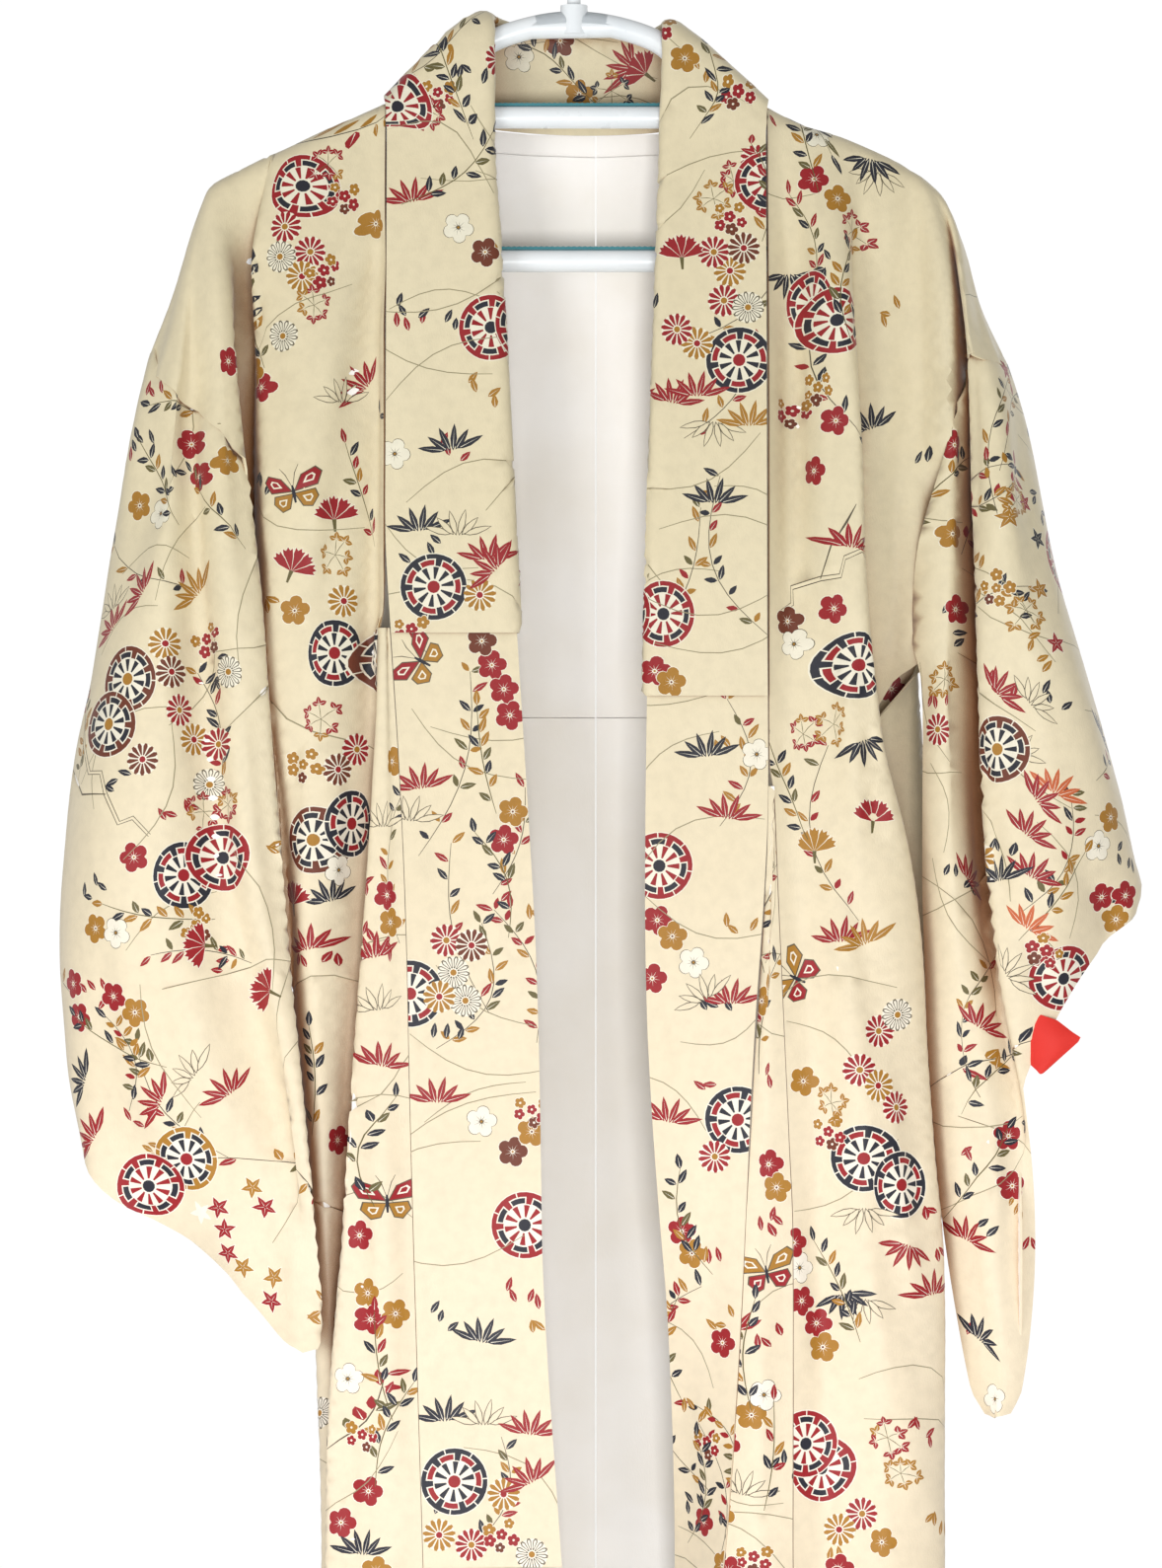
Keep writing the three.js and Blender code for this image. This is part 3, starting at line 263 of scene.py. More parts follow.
NECK_LEFT = [
    {  # centre seam
        "back": numbers("66.5 12.3 21, 150 12.3 25, 300 12.3 27, 860 12.3 30, hem 12.3 34"),
    },
    {  # back ridge
        "back": numbers("65.2 45 20, 150 46 26, 300 47 29, 860 50 31, hem 54 38"),
    },
    {  # back valley
        "back": numbers("62.2 72 17, 150 74 25, 300 75 28, 860 78 29, hem 84 32"),
    },
    {  # neck side
        "back": numbers("57.8 94 12, 150 98 22, 300 100 27, 860 106 28, hem 114 34"),
    },
]
BODY_LEFT = [
    {  # collar and overlap seam
        "front": numbers(
            "53 105.8 -8, 70 105.9 -12, 120 105.9 -18, 200 105.9 -27, 300 105.9 -33.3, 400 105.9 -38.7",
            "415 106.2 -39.3, 428 108.4 -39.8, 482 110.6 -42, 529 112.6 -43.5, 619 116.6 -45",
            "668 118.6 -46, 860 118.6 -47, hem 124 -48",
        ),
        "back": numbers("53 105.8 8, 120 110 18, 200 113 23, 300 116 27, 860 126 27, hem 136 33"),
    },
    {  # dark valley
        "front": numbers(
            "57 113 -8, 120 115 -14, 200 117 -18, 300 116 -25, 400 120 -33, 482 124 -38, 570 128 -41",
            "668 134 -41, 860 136 -41, hem 140 -40",
        ),
        "back": numbers("57 113 8, 120 122 18, 200 128 23, 300 132 26, 860 146 24, hem 158 28"),
    },
    {  # front ridge
        "front": numbers(
            "64 128 -8, 120 134 -22, 200 139 -33, 300 142 -41, 400 148 -46, 500 154 -48, 600 160 -48",
            "700 166 -46, 860 166 -45, hem 172 -44",
        ),
        "back": numbers(
            "64 128 8, 120 138 17, 200 146 22, 300 150 25, 500 160 24, 860 170 22, hem 182 22",
        ),
    },
    {  # sharp fold edge
        "front": numbers(
            "70 148 -8, 120 150 -19, 188 153.5 -31, 253 156.5 -36, 297 157.5 -39, 341 160.5 -41",
            "384 165.5 -41, 406 168.5 -40, 455 180.5 -37, 510 188.5 -33, 564 191.5 -31, 619 195.5 -29",
            "673 200.5 -27, 720 202 -26, 860 202 -25, hem 208 -24",
        ),
        "back": numbers(
            "70 148 8, 120 156 16, 200 164 22, 300 168 25, 400 176 24, 500 188 22, 600 192 20, 860 192 18",
            "hem 202 18",
        ),
    },
    {  # under the fold
        "front": numbers(
            "75 160 -8, 120 157 -13, 188 152.5 -19, 253 153.5 -22, 300 154 -23, 341 155.5 -24",
            "384 159 -24, 420 165 -25, 500 181 -22, 600 187 -18, 700 195 -15, 860 196 -13, hem 202 -12",
        ),
        "back": numbers(
            "75 160 8, 120 168 16, 200 176 21, 300 182 23, 400 192 21, 500 200 14, 600 202 10, 860 203 9",
            "hem 209 10",
        ),
    },
    {  # deeper panel
        "front": numbers(
            "81.5 174 -8, 120 174 -14, 188 172 -20, 253 174 -22, 300 175 -22, 346 168 -18, 384 156 -14",
            "420 156 -12, 500 170 -11, 600 174 -9, 700 180 -8, 860 181 -7, hem 186 -7",
        ),
        "back": numbers(
            "81.5 174 8, 150 180 17, 250 186 20, 346 190 18, 400 186 10, 440 182 8, 500 184 5, 600 188 4",
            "860 188 4, hem 192 4",
        ),
    },
    {  # side edge
        "front": numbers(
            "87.5 184 -8, 150 190 -13, 250 190 -17, 344 183 -19, 368 168 -12, 400 156 -8, 440 152 -4",
            "485 156 -1, 600 165 -0.9, 860 170 -0.9, hem 174 -0.9",
        ),
        "back": numbers(
            "87.5 184 8, 150 190 16, 250 194 20, 346 194 18, 368 186 10, 400 172 5, 440 162 3.5",
            "485 156 1, 600 165 0.9, 860 170 0.9, hem 174 0.9",
        ),
    },
]
SLEEVE_LEFT = [
    {  # inner edge
        "seam": (346, 348),
        "front": numbers(
            "346 185.8 -20.5, 368 190 -23, 430 190.5 -25, 482 190.5 -25, 510 191.5 -23, 564 193.5 -20",
            "619 197.5 -18.5, 673 203 -17, 755 217 -16, 769 225 -16",
        ),
        "back": numbers(
            "348 196.5 20.5, 400 206 23, 482 208 15, 560 209 2, 646 209 -5, 700 212 -9, 755 219 -11",
            "768 226 -12.5",
        ),
    },
    {  # inner ridge
        "seam": (232, 300),
        "front": numbers(
            "91 190 -8, 120 198 -18, 160 204 -28, 232 205.5 -33, 346 203 -37, 430 205 -39, 482 206 -39",
            "560 210 -35, 646 215 -32, 720 223.5 -28, 771 230 -20.5",
        ),
        "back": numbers(
            "91 190 8, 150 198 16, 200 200 21, 300 200 25, 400 209 28, 482 213 22, 560 217 6, 646 220 -5",
            "720 226 -10, 770 229 -15.5",
        ),
    },
    {  # bottom of the deep fold
        "seam": (196, 262),
        "front": numbers(
            "96 196 -8, 120 205 -11, 150 211 -11, 196 217 -11, 264 219.5 -12, 319 222 -13, 428 225 -16",
            "482 228 -20, 526 232 -25, 560 236 -28, 602 242 -28.5, 662 241 -27.5, 755 242 -23",
            "768 238 -20",
        ),
        "back": numbers(
            "96 196 8, 150 205 17, 262 206 27, 346 212 32, 428 222 31, 526 231 14, 602 241 -8",
            "662 240 -13, 755 241 -15.5, 767 237 -15.5",
        ),
    },
    {  # outer fold edge
        "seam": (193, 230),
        "front": numbers(
            "101 201 -8, 120 207 -14, 150 210.5 -24, 193 214.5 -31, 264 217 -38, 319 219.5 -41",
            "373 221 -43, 428 222.5 -45, 482 226 -46, 526 231 -46, 560 238 -43, 590 244 -37",
        ),
        "back": numbers(
            "101 201 8, 150 210 16, 230 212 26, 302 222 32, 428 236 34, 526 240 20, 590 243 -12",
        ),
    },
    {  # outer ridge
        "seam": (194.5, 212),
        "front": numbers(
            "132 214.5 -5, 160 219 -16, 194.5 223 -34, 264 234 -46, 319 242 -50, 373 249 -52, 428 256 -52",
            "482 262 -50, 526 262 -44, 548 264 -38",
        ),
        "back": numbers(
            "132 214.5 5, 165 218 14, 212 220 23, 302 236 30, 428 256 32, 500 262 18, 545 263 -10",
        ),
    },
    {  # shoulder of the roll
        "seam": (196.5, 204),
        "front": numbers(
            "158 221.5 -4, 178 227 -14, 196.5 232 -24, 264 248 -30, 319 260 -35, 373 273 -38, 428 286 -37",
            "470 293 -32, 512 288 -26",
        ),
        "back": numbers(
            "158 221.5 4, 180 226 10, 204 230 17, 302 252 22, 428 284 22, 470 290 12, 508 286 -6",
        ),
    },
    {  # top line and cuff
        "seam": (197, 197),
        "front": numbers(
            "187 233 -3.5, 197 238.5 -3.5, 237 250 -3.5, 302 263 -3.5, 368 282 -3.5, 428 299 -4",
            "466 307 -6, 482 311 -8, 492 308 -10",
        ),
        "back": numbers(
            "187 233 3.5, 197 238.5 3.5, 237 250 3.5, 302 263 3.5, 368 282 3.5, 428 299 4, 466 307 3",
            "482 311 1, 491 307 0",
        ),
    },
]
CUFF_OPENS_AT = 0.74  # share of the top line's length at which the cuff opening starts

# The overlap panels from their front edge outwards. The first two lines exist only below the end of the
# collar, where the panel runs on to its own front edge.
OVERLAP_RIGHT = {
    "top": 340,
    "collarEnd": 852,
    "folds": [
        numbers("852 -7 -43, 1250 -2 -45, hem 2 -48"),
        numbers("852 -44 -46.5, 1250 -43 -49, hem -42 -53"),
        "collar seam",
        numbers(
            "340 -102.5 -34.6, 395 -102.6 -38.8, 510 -103.5 -43, 591 -105 -45, 760 -110 -49, hem -120 -54",
        ),
        numbers(
            "340 -104.6 -34.4, 395 -107 -37.5, 510 -115 -40.5, 591 -120 -42, 668 -125 -43, 760 -133 -44",
            "860 -135 -44, hem -150 -46",
        ),
        numbers(
            "340 -106 -33.6, 395 -106 -33.6, 510 -109 -34, 668 -115 -34, 760 -119 -34, hem -128 -36",
        ),
        "body seam",
    ],
}
OVERLAP_LEFT = {
    "top": 426,
    "collarEnd": 872,
    "folds": [
        numbers("872 56 -10, 1250 52 -22, hem 46 -40"),
        numbers("872 67 -30, 1250 67 -40, hem 64 -52"),
        "collar seam",
        numbers(
            "426 106.6 -39.6, 529 106 -45, 619 105 -47.4, 717 104 -49, 860 99 -51, hem 104 -55",
        ),
        "body seam",
    ],
}


# Surfaces: every panel is a smooth sheet through its fold lines. u runs across the folds and v down
# along them, both in millimetres of cloth.
STEP = 2.0


def from_photo(px, py):
    """x and drop of a place given in the photo's pixels."""
    return (px - PHOTO_CENTRE) * PHOTO_MM, (py - PHOTO_TOP) * PHOTO_MM


def between(t, p, q, m, n):
    """The smooth curve from p to q, with the slopes m and n at its ends."""
    return p + t * (m + t * (3 * (q - p) - 2 * m - n + t * (2 * (p - q) + m + n)))


def at_drop(table, column, drops):
    """Smooth values of a table's column at some drops. The table's first column is the drop."""
    rows = np.array(table, float)
    x, y = rows[:, 0], rows[:, column]
    before = np.maximum(np.arange(len(x)) - 1, 0)
    after = np.minimum(np.arange(len(x)) + 1, len(x) - 1)
    slope = (y[after] - y[before]) / (x[after] - x[before])
    k = np.clip(np.searchsorted(x, drops, side="left") - 1, 0, len(x) - 2)
    span = x[k + 1] - x[k]
    t = np.clip((drops - x[k]) / span, 0, 1)
    return between(t, y[k], y[k + 1], slope[k] * span, slope[k + 1] * span)


def place(x, depth, drop):
    return np.stack(np.broadcast_arrays(x, depth, -HOOK_DROP - np.asarray(drop, float)), axis=-1)


def line_points(table, rounded=True, end=None):
    """Points close together down a fold line. At its top the cloth rounds over the hanger's arm."""
    top, bottom = table[0][0], end or table[-1][0]
    drops = np.concatenate([top + np.linspace(0, 9, 24)[:-1], np.arange(top + 9, bottom, STEP), [bottom]])
    below = np.clip((drops - top) / SHOULDER_ROUND, 0, 1)
    round_off = np.sqrt(1 - (1 - below) ** 2) if rounded else 1
    return place(at_drop(table, 1, drops), at_drop(table, 2, drops) * round_off, drops)


def lengths(points):
    return np.concatenate([[0], np.cumsum(np.linalg.norm(np.diff(points, axis=0), axis=1))])


def along(points, start, v):
    """The points at distances v along a line that begins at distance start.

    The line is carried on straight at its ends.
    """
    s = start + lengths(points)
    reach = 400.0
    first = points[0] - (points[3] - points[0]) / (s[3] - s[0]) * reach
    last = points[-1] + (points[-1] - points[-4]) / (s[-1] - s[-4]) * reach
    s = np.concatenate([[s[0] - reach], s, [s[-1] + reach]])
    points = np.concatenate([[first], points, [last]])
    return np.stack([np.interp(v, s, points[:, axis]) for axis in range(3)], axis=-1)


class Surface:
    """A sheet through a grid of points: rows at even steps of v, a column for each value of u."""

    def __init__(self, u, v, grid):
        self.u, self.v, self.grid = np.array(u, float), np.array(v, float), grid
        h = np.diff(self.u)[:, None]
        chord = np.diff(grid, axis=1) / h
        tangent = np.empty_like(grid)
        tangent[:, 0], tangent[:, -1] = chord[:, 0], chord[:, -1]
        tangent[:, 1:-1] = (chord[:, 1:] * h[:-1] + chord[:, :-1] * h[1:]) / (h[1:] + h[:-1])
        self.tangent = tangent

    def at(self, u, v):
        k = np.clip(np.searchsorted(self.u, u) - 1, 0, len(self.u) - 2)
        row = np.clip((v - self.v[0]) / (self.v[1] - self.v[0]), 0, len(self.v) - 1.001)
        i = row.astype(int)
        f = (row - i)[:, None]

        def corner(values, j):
            return values[i, j] * (1 - f) + values[i + 1, j] * f

        h = (self.u[k + 1] - self.u[k])[:, None]
        t = ((u - self.u[k])[:, None]) / h
        p, q = corner(self.grid, k), corner(self.grid, k + 1)
        return between(t, p, q, corner(self.tangent, k) * h, corner(self.tangent, k + 1) * h)

    def normal(self, u, v):
        e = 1.2
        across = self.at(u + e, v) - self.at(u - e, v)
        down = self.at(u, v + e) - self.at(u, v - e)
        normal = np.cross(across, down)
        return normal / np.maximum(np.linalg.norm(normal, axis=1), 1e-9)[:, None]


def knots(grid, used):
    """Cloth widths between neighbouring fold lines, averaged over the rows where both are used."""
    gaps = np.linalg.norm(np.diff(grid, axis=1), axis=2)
    both = used[:, 1:] & used[:, :-1]
    mean = (gaps * both).sum(axis=0) / np.maximum(both.sum(axis=0), 1)
    return np.concatenate([[0], np.cumsum(np.maximum(mean, 2))])


def dense(points, step=6.0):
    """An outline with further points between its corners."""
    out = []
    for a, b in zip(points, points[1:] + points[:1]):
        count = max(1, int(math.dist(a, b) / step))
        out += [(a[0] + (b[0] - a[0]) * i / count, a[1] + (b[1] - a[1]) * i / count) for i in range(count)]
    return out


def smooth_step(x):
    x = np.clip(x, 0, 1)
    return x * x * (3 - 2 * x)


def body_sheet(neck, body, sleeve):
    """One half of the body: front (v below 0) and back over the shoulder. Returns surface and outline."""
    caps = sleeve[1:]
    first, edge = len(neck), len(neck) + len(body) - 1
    v = np.arange(-1640, 1642, STEP)
    front, back = v < 0, v >= 0
    shoulder = body[0]["front"][0][0]
    columns, ends = [], []
    for fold in neck:
        points = line_points(fold["back"], rounded=False)
        start = fold["back"][0][0] - shoulder + 8
        columns.append(along(points, start, v))
        ends.append([None, None, start, start + lengths(points)[-1]])
    for fold in body + caps:
        halves, end = [], []
        for face, rows in (("front", front), ("back", back)):
            points = line_points(fold[face])
            halves.append(along(points, 0, np.abs(v[rows])))
            seam = fold.get("seam", (HEM, HEM))[0 if face == "front" else 1]
            end.append(lengths(line_points(fold[face], end=seam))[-1])
        columns.append(np.concatenate(halves))
        ends.append([-end[0], end[1], None, None])
    grid = np.stack(columns, axis=1)
    for j in reversed(range(first)):
        grid[front, j] = 2 * grid[front, j + 1] - grid[front, j + 2]
    vent = [ends[edge + 1][0], ends[edge + 1][1]]
    beyond = np.where(v < 0, vent[0] - v, v - vent[1])
    share = smooth_step(beyond / 40)[:, None]
    for k in range(edge + 1, grid.shape[1]):
        straight = grid[:, edge] + (k - edge) * (grid[:, edge] - grid[:, edge - 1])
        grid[:, k] = grid[:, k] * (1 - share) + straight * share
    used = np.zeros(grid.shape[:2], bool)
    for j, (low, high, start, stop) in enumerate(ends):
        used[:, j] = (v >= start) & (v <= stop) if low is None else (v >= low) & (v <= min(high, 900))
    u = knots(grid, used)
    outline = [(u[j], ends[j][0]) for j in range(first, len(u))]
    outline += [(u[j], ends[j][1]) for j in reversed(range(first, len(u)))]
    outline += [(u[j], ends[j][3]) for j in reversed(range(first))]
    outline += [(u[j], ends[j][2]) for j in range(first)] + [(u[first], 2.0)]
    return Surface(u, v, grid), dense(outline)


def sleeve_sheet(sleeve):
    """One sleeve, front and back round its top line. Returns surface, outline and the seam's v by u."""
    v = np.arange(60, 860, STEP)
    lines, columns, seams, ends = [], [], [], []
    for face, order in ((0, sleeve), (1, sleeve[::-1])):
        lines += [(fold["front" if face == 0 else "back"], fold["seam"][face]) for fold in order]
    for table, seam in lines:
        points = line_points(table, rounded=False)
        columns.append(along(points, table[0][0], v))
        seams.append(table[0][0] + lengths(line_points(table, False, end=max(seam, table[0][0] + 12)))[-1])
        if seam < table[0][0] + 12:
            seams[-1] = table[0][0] + 0.5
        ends.append(table[0][0] + lengths(points)[-1])
    grid = np.stack(columns, axis=1)
    used = (v[:, None] >= np.array(seams)) & (v[:, None] <= np.array(ends))
    u = knots(grid, used)
    n = len(sleeve)
    cuff = seams[n - 1] + (ends[n - 1] - seams[n - 1]) * CUFF_OPENS_AT
    tuck = 4.0
    outline = [(u[j], seams[j] - tuck) for j in range(2 * n)]
    outline += [(u[j], ends[j]) for j in reversed(range(n, 2 * n))] + [(u[n], cuff), (u[n - 1], cuff)]
    outline += [(u[j], ends[j]) for j in reversed(range(n))]
    return Surface(u, v, grid), dense(outline), (u, np.array(seams))


def overlap_sheet(overlap, collar, body, towards_centre):
    """An overlap panel between the collar and the body's front. Returns surface and outline."""
    top, end = overlap["top"], overlap["collarEnd"]
    v = np.arange(top - 20, HEM + 20, STEP)
    folded = len(overlap["folds"]) > 5
    columns, starts = [], []
    for fold in overlap["folds"]:
        if fold == "collar seam":
            x, depth = at_drop(collar, 2, np.minimum(v, end)), at_drop(collar, 4, np.minimum(v, end))
            depth = depth - np.maximum(v - end, 0) * 0.005
            columns.append(place(x - towards_centre * SEAM, depth, v))
            starts.append(top)
        elif fold == "body seam":
            x, depth = at_drop(body[0]["front"], 1, v), at_drop(body[0]["front"], 2, v)
            columns.append(place(x + towards_centre * SEAM, depth - (1.7 if folded else 0), v))
            starts.append(top)
        else:
            columns.append(place(at_drop(fold, 1, v), at_drop(fold, 2, v), v))
            starts.append(max(top, fold[0][0]))
    grid = np.stack(columns, axis=1)
    used = v[:, None] >= np.array(starts)
    u = knots(grid, used)
    seam = overlap["folds"].index("collar seam")
    hem = HEM - 0.5
    outline = [(u[0], end + 0.6), (u[seam], end + 0.6), (u[seam], top), (u[-1], top)]
    outline += [(u[-1], hem), (u[0], hem)]
    return Surface(u, v, grid), dense(outline)


BAND_SHARES = (0, 0.2, 0.6, 1)  # where the collar band's lines lie across its width
BAND_WIDTH = 60.0


def band_rows():
    """Dense rows of the collar band from the right front round the neck to the left front."""
    stations = []

    def front(table, low, high):
        drops = np.linspace(low, high, max(2, int(abs(low - high) / 50)))
        cols = [at_drop(table, column, drops) for column in (1, 3, 2, 4)]
        return [[cols[0][i], d, cols[1][i], cols[2][i], d, cols[3][i], 0] for i, d in enumerate(drops)]

    stations += front(COLLAR_RIGHT, COLLAR_RIGHT[-1][0], COLLAR_RIGHT[0][0])
    stations += COLLAR_NECK
    stations += front(COLLAR_LEFT, COLLAR_LEFT[0][0], COLLAR_LEFT[-1][0])
    stations = np.array(stations, float)
    middle = (stations[:, :3] + stations[:, 3:6]) / 2
    s = lengths(middle)
    slope = np.gradient(stations, s, axis=0)
    v = np.arange(0, s[-1], STEP)
    k = np.clip(np.searchsorted(s, v) - 1, 0, len(s) - 2)
    span = (s[k + 1] - s[k])[:, None]
    t = ((v - s[k])[:, None]) / span
    band = between(t, stations[k], stations[k + 1], slope[k] * span, slope[k + 1] * span)
    inner = place(band[:, 0], band[:, 2], band[:, 1])
    outer = place(band[:, 3], band[:, 5], band[:, 4])
    grid = np.stack([inner + (outer - inner) * share for share in BAND_SHARES], axis=1)
    for j, share in enumerate(BAND_SHARES):
        grid[:, j, 2] += band[:, 6] * math.sin(math.pi * share ** 0.55)
    return v, grid


def collar_sheet():
    v, grid = band_rows()
    u = [share * BAND_WIDTH for share in BAND_SHARES]
    return Surface(u, v, grid), dense([(0, 1), (BAND_WIDTH, 1), (BAND_WIDTH, v[-1] - 1), (0, v[-1] - 1)])


def over_collar_sheet():
    """The band that wraps the upper collar round its inner edge."""
    v, grid = band_rows()
    band = Surface([share * BAND_WIDTH for share in BAND_SHARES], v, grid)
    out = COLLAR_CORE / 2 + WRAP + OVER_COLLAR / 2
    normal = [band.normal(np.full(len(v), share * BAND_WIDTH), v) for share in BAND_SHARES]
    edge = grid[:, 0] - grid[:, 1]
    edge = edge / np.linalg.norm(edge, axis=1)[:, None]
    face = [grid[:, j] - normal[j] * out for j in (3, 2, 1, 0)]
    back = [grid[:, j] + normal[j] * out for j in (0, 1, 2, 3)]
    wrapped = np.stack(face + [grid[:, 0] + edge * out] + back, axis=1)
    u = [-share * BAND_WIDTH for share in (1, 0.6, 0.2, 0)] + [3.6]
    u += [7.2 + share * BAND_WIDTH for share in (0, 0.2, 0.6, 1)]
    drops = -HOOK_DROP - grid[:, 1, 2]
    middle = len(v) // 2
    low = v[np.argmax(drops[:middle] < OVER_COLLAR_END["right"])]
    high = v[middle + np.argmax(drops[middle:] > OVER_COLLAR_END["left"])]
    return Surface(u, v, wrapped), dense([(u[0], low), (u[-1], low), (u[-1], high), (u[0], high)])


LINING_GAP = 1.9  # from the middle of the back's cloth to that of its lining


def lining_sheet(neck, body, top, bottom):
    """The lining of one half of the back, just in front of the back's cloth."""
    v = np.arange(60, HEM + 20, STEP)
    columns = []
    for fold in [fold["back"] for fold in neck] + [body[0]["back"]]:
        points = line_points(fold, rounded=False)
        column = along(points, fold[0][0], v)
        column[:, 1] -= LINING_GAP
        columns.append(column)
    grid = np.stack(columns, axis=1)
    u = knots(grid, np.ones(grid.shape[:2], bool))
    starts = [max(top, fold["back"][0][0] + 12) for fold in neck] + [max(top, body[0]["back"][0][0] + 12)]
    outline = [(u[j], starts[j]) for j in range(len(u))] + [(u[-1], bottom), (u[0], bottom)]
    return Surface(u, v, grid), dense(outline, 14)


# The turned-out fold of red lining at the left cuff: x, depth and drop along four lines from the
# sleeve's edge to the fold's tip
CUFF_FOLD = [
    [(243, -38, 548), (250, -41, 549), (256, -42, 551), (262, -41.5, 553)],
    [(243, -38, 556), (252, -43, 557), (262, -44, 559), (271, -42, 560)],
    [(244, -38, 563), (253, -43.5, 565), (263, -44.5, 567), (274.5, -41.5, 563)],
    [(246, -38, 570), (252, -42, 573), (258, -43, 575), (266, -42, 571)],
    [(248, -38, 577), (251, -41, 580), (253, -41.5, 582), (256, -41, 580)],
]


def flap_sheet():
    """The small red fold as a smooth patch."""
    points = place(*np.moveaxis(np.array(CUFF_FOLD, float), -1, 0))
    v = np.arange(0, 30, STEP / 2)
    t = np.linspace(0, len(points) - 1, len(v))
    columns = []
    for j in range(points.shape[1]):
        line = np.column_stack([np.arange(len(points)), points[:, j]])
        columns.append(np.stack([at_drop(line, axis, t) for axis in (1, 2, 3)], axis=-1))
    grid = np.stack(columns, axis=1)
    u = [0, 9, 19, 28]
    return Surface(u, v, grid), dense([(0, 0), (28, 0), (28, 29), (0, 29)], 3)


# The print: traditional motifs drawn as flat shapes, in millimetres, each with its colour. A motif
# is a list of (outline, colour), the later ones on top.
def srgb(r, g, b):
    return tuple((c / 255 / 12.92 if c <= 10 else ((c / 255 + 0.055) / 1.055) ** 2.4) for c in (r, g, b))


INK = {
    "ground": srgb(240, 229, 203),
    "white": srgb(250, 246, 234),
    "crimson": srgb(158, 22, 32),
    "ochre": srgb(176, 126, 40),
    "rust": srgb(112, 52, 30),
    "navy": srgb(32, 34, 48),
    "olive": srgb(104, 96, 56),
    "line": srgb(92, 84, 66),
    "grass": srgb(160, 152, 124),
    "orange": srgb(206, 104, 60),
}
HUB = {"navy": "crimson", "rust": "ochre", "crimson": "navy", "ochre": "crimson"}


def turned(points, angle, x=0.0, y=0.0):
    c, s = math.cos(math.radians(angle)), math.sin(math.radians(angle))
    return [(x + c * px - s * py, y + s * px + c * py) for px, py in points]


def disc(r, sides=14, x=0.0, y=0.0):
    angles = [2 * math.pi * i / sides for i in range(sides)]
    return [(x + r * math.cos(a), y + r * math.sin(a)) for a in angles]


def ring_piece(low, high, start, end, steps=3):
    angles = [math.radians(start + (end - start) * i / steps) for i in range(steps + 1)]
    inner = [(low * math.cos(a), low * math.sin(a)) for a in angles]
    outer = [(high * math.cos(a), high * math.sin(a)) for a in reversed(angles)]
    return inner + outer


def flower_outline(r, petals=5, depth=0.3, power=0.7, sides=30):
    out = []
    for i in range(sides):
        a = 2 * math.pi * i / sides
        rho = r * (1 - depth + depth * abs(math.cos(petals * a / 2)) ** power)
        out.append((rho * math.cos(a), rho * math.sin(a)))
    return out


def strip(points, width, ends=0.35):
    """A thin stroke along some points, thinner at its ends."""
    left, right = [], []
    for i, (x, y) in enumerate(points):
        ax, ay = points[max(i - 1, 0)]
        bx, by = points[min(i + 1, len(points) - 1)]
        length = math.hypot(bx - ax, by - ay) or 1
        t = i / (len(points) - 1)
        w = width / 2 * (ends + (1 - ends) * math.sin(math.pi * min(max(t, 0.02), 0.98)) ** 0.5)
        nx, ny = -(by - ay) / length * w, (bx - ax) / length * w
        left.append((x + nx, y + ny))
        right.append((x - nx, y - ny))
    return left + right[::-1]


def arc(length, bend, steps=7):
    return [(length * (i / steps - 0.5), bend * math.sin(math.pi * i / steps)) for i in range(steps + 1)]


def leaf(length, width, colour, angle=0.0, x=0.0, y=0.0, vein=True):
    """A pointed leaf from its stalk at the origin, along +y."""
    half = [(0.0, 0.0), (0.34, 0.18), (0.5, 0.45), (0.3, 0.78), (0.0, 1.0)]
    points = [(w * width, t * length) for w, t in half] + [(-w * width, t * length) for w, t in half[-2:0:-1]]
    parts = [(turned(points, angle, x, y), colour)]
    if vein:
        middle = [(-0.18, 0.1 * length), (0.18, 0.1 * length), (0.0, 0.85 * length)]
        parts.append((turned(middle, angle, x, y), "white"))
    return parts


def hollow_leaf(length, width, angle=0.0, x=0.0, y=0.0):
    inner = leaf(length - 1.5, width - 1.0, "ground", angle, x, y, vein=False)[0]
    shift = turned([(0, 0.75)], angle)[0]
    inner = ([(px + shift[0], py + shift[1]) for px, py in inner[0]], "ground")
    return [leaf(length, width, "line", angle, x, y, vein=False)[0], inner]


def wheel(colour, size, seed):
    """A court-carriage wheel: a broad rim set with seven blocks, ten wedge spokes and a hub."""
    r = size / 2
    block, spoke = ("crimson", "navy") if colour == "navy" else ("navy", "navy")
    if colour == "crimson":
        spoke = "crimson"
    parts = [(disc(r * 1.03, 30), "white"), (disc(r, 30), colour)]
    notch = [(0.8 * r, -0.018 * r), (r, -0.018 * r), (r, 0.018 * r), (0.8 * r, 0.018 * r)]
    parts += [(turned(notch, 360 * k / 7), "white") for k in range(7)]
    for k in range(7):
        turn = 360 * k / 7
        parts.append((ring_piece(0.6 * r, 0.86 * r, turn - 19, turn + 19), "white"))
        parts.append((ring_piece(0.66 * r, 0.82 * r, turn - 16, turn + 16), block))
    parts.append((disc(0.64 * r, 28), "white"))
    wedge = [(0.24 * r, -0.025 * r), (0.6 * r, -0.088 * r), (0.61 * r, 0.0)]
    wedge += [(0.6 * r, 0.088 * r), (0.24 * r, 0.025 * r)]
    parts += [(turned(wedge, 36 * k + 9), spoke) for k in range(10)]
    parts.append((disc(0.19 * r, 12), HUB[colour]))
    return parts


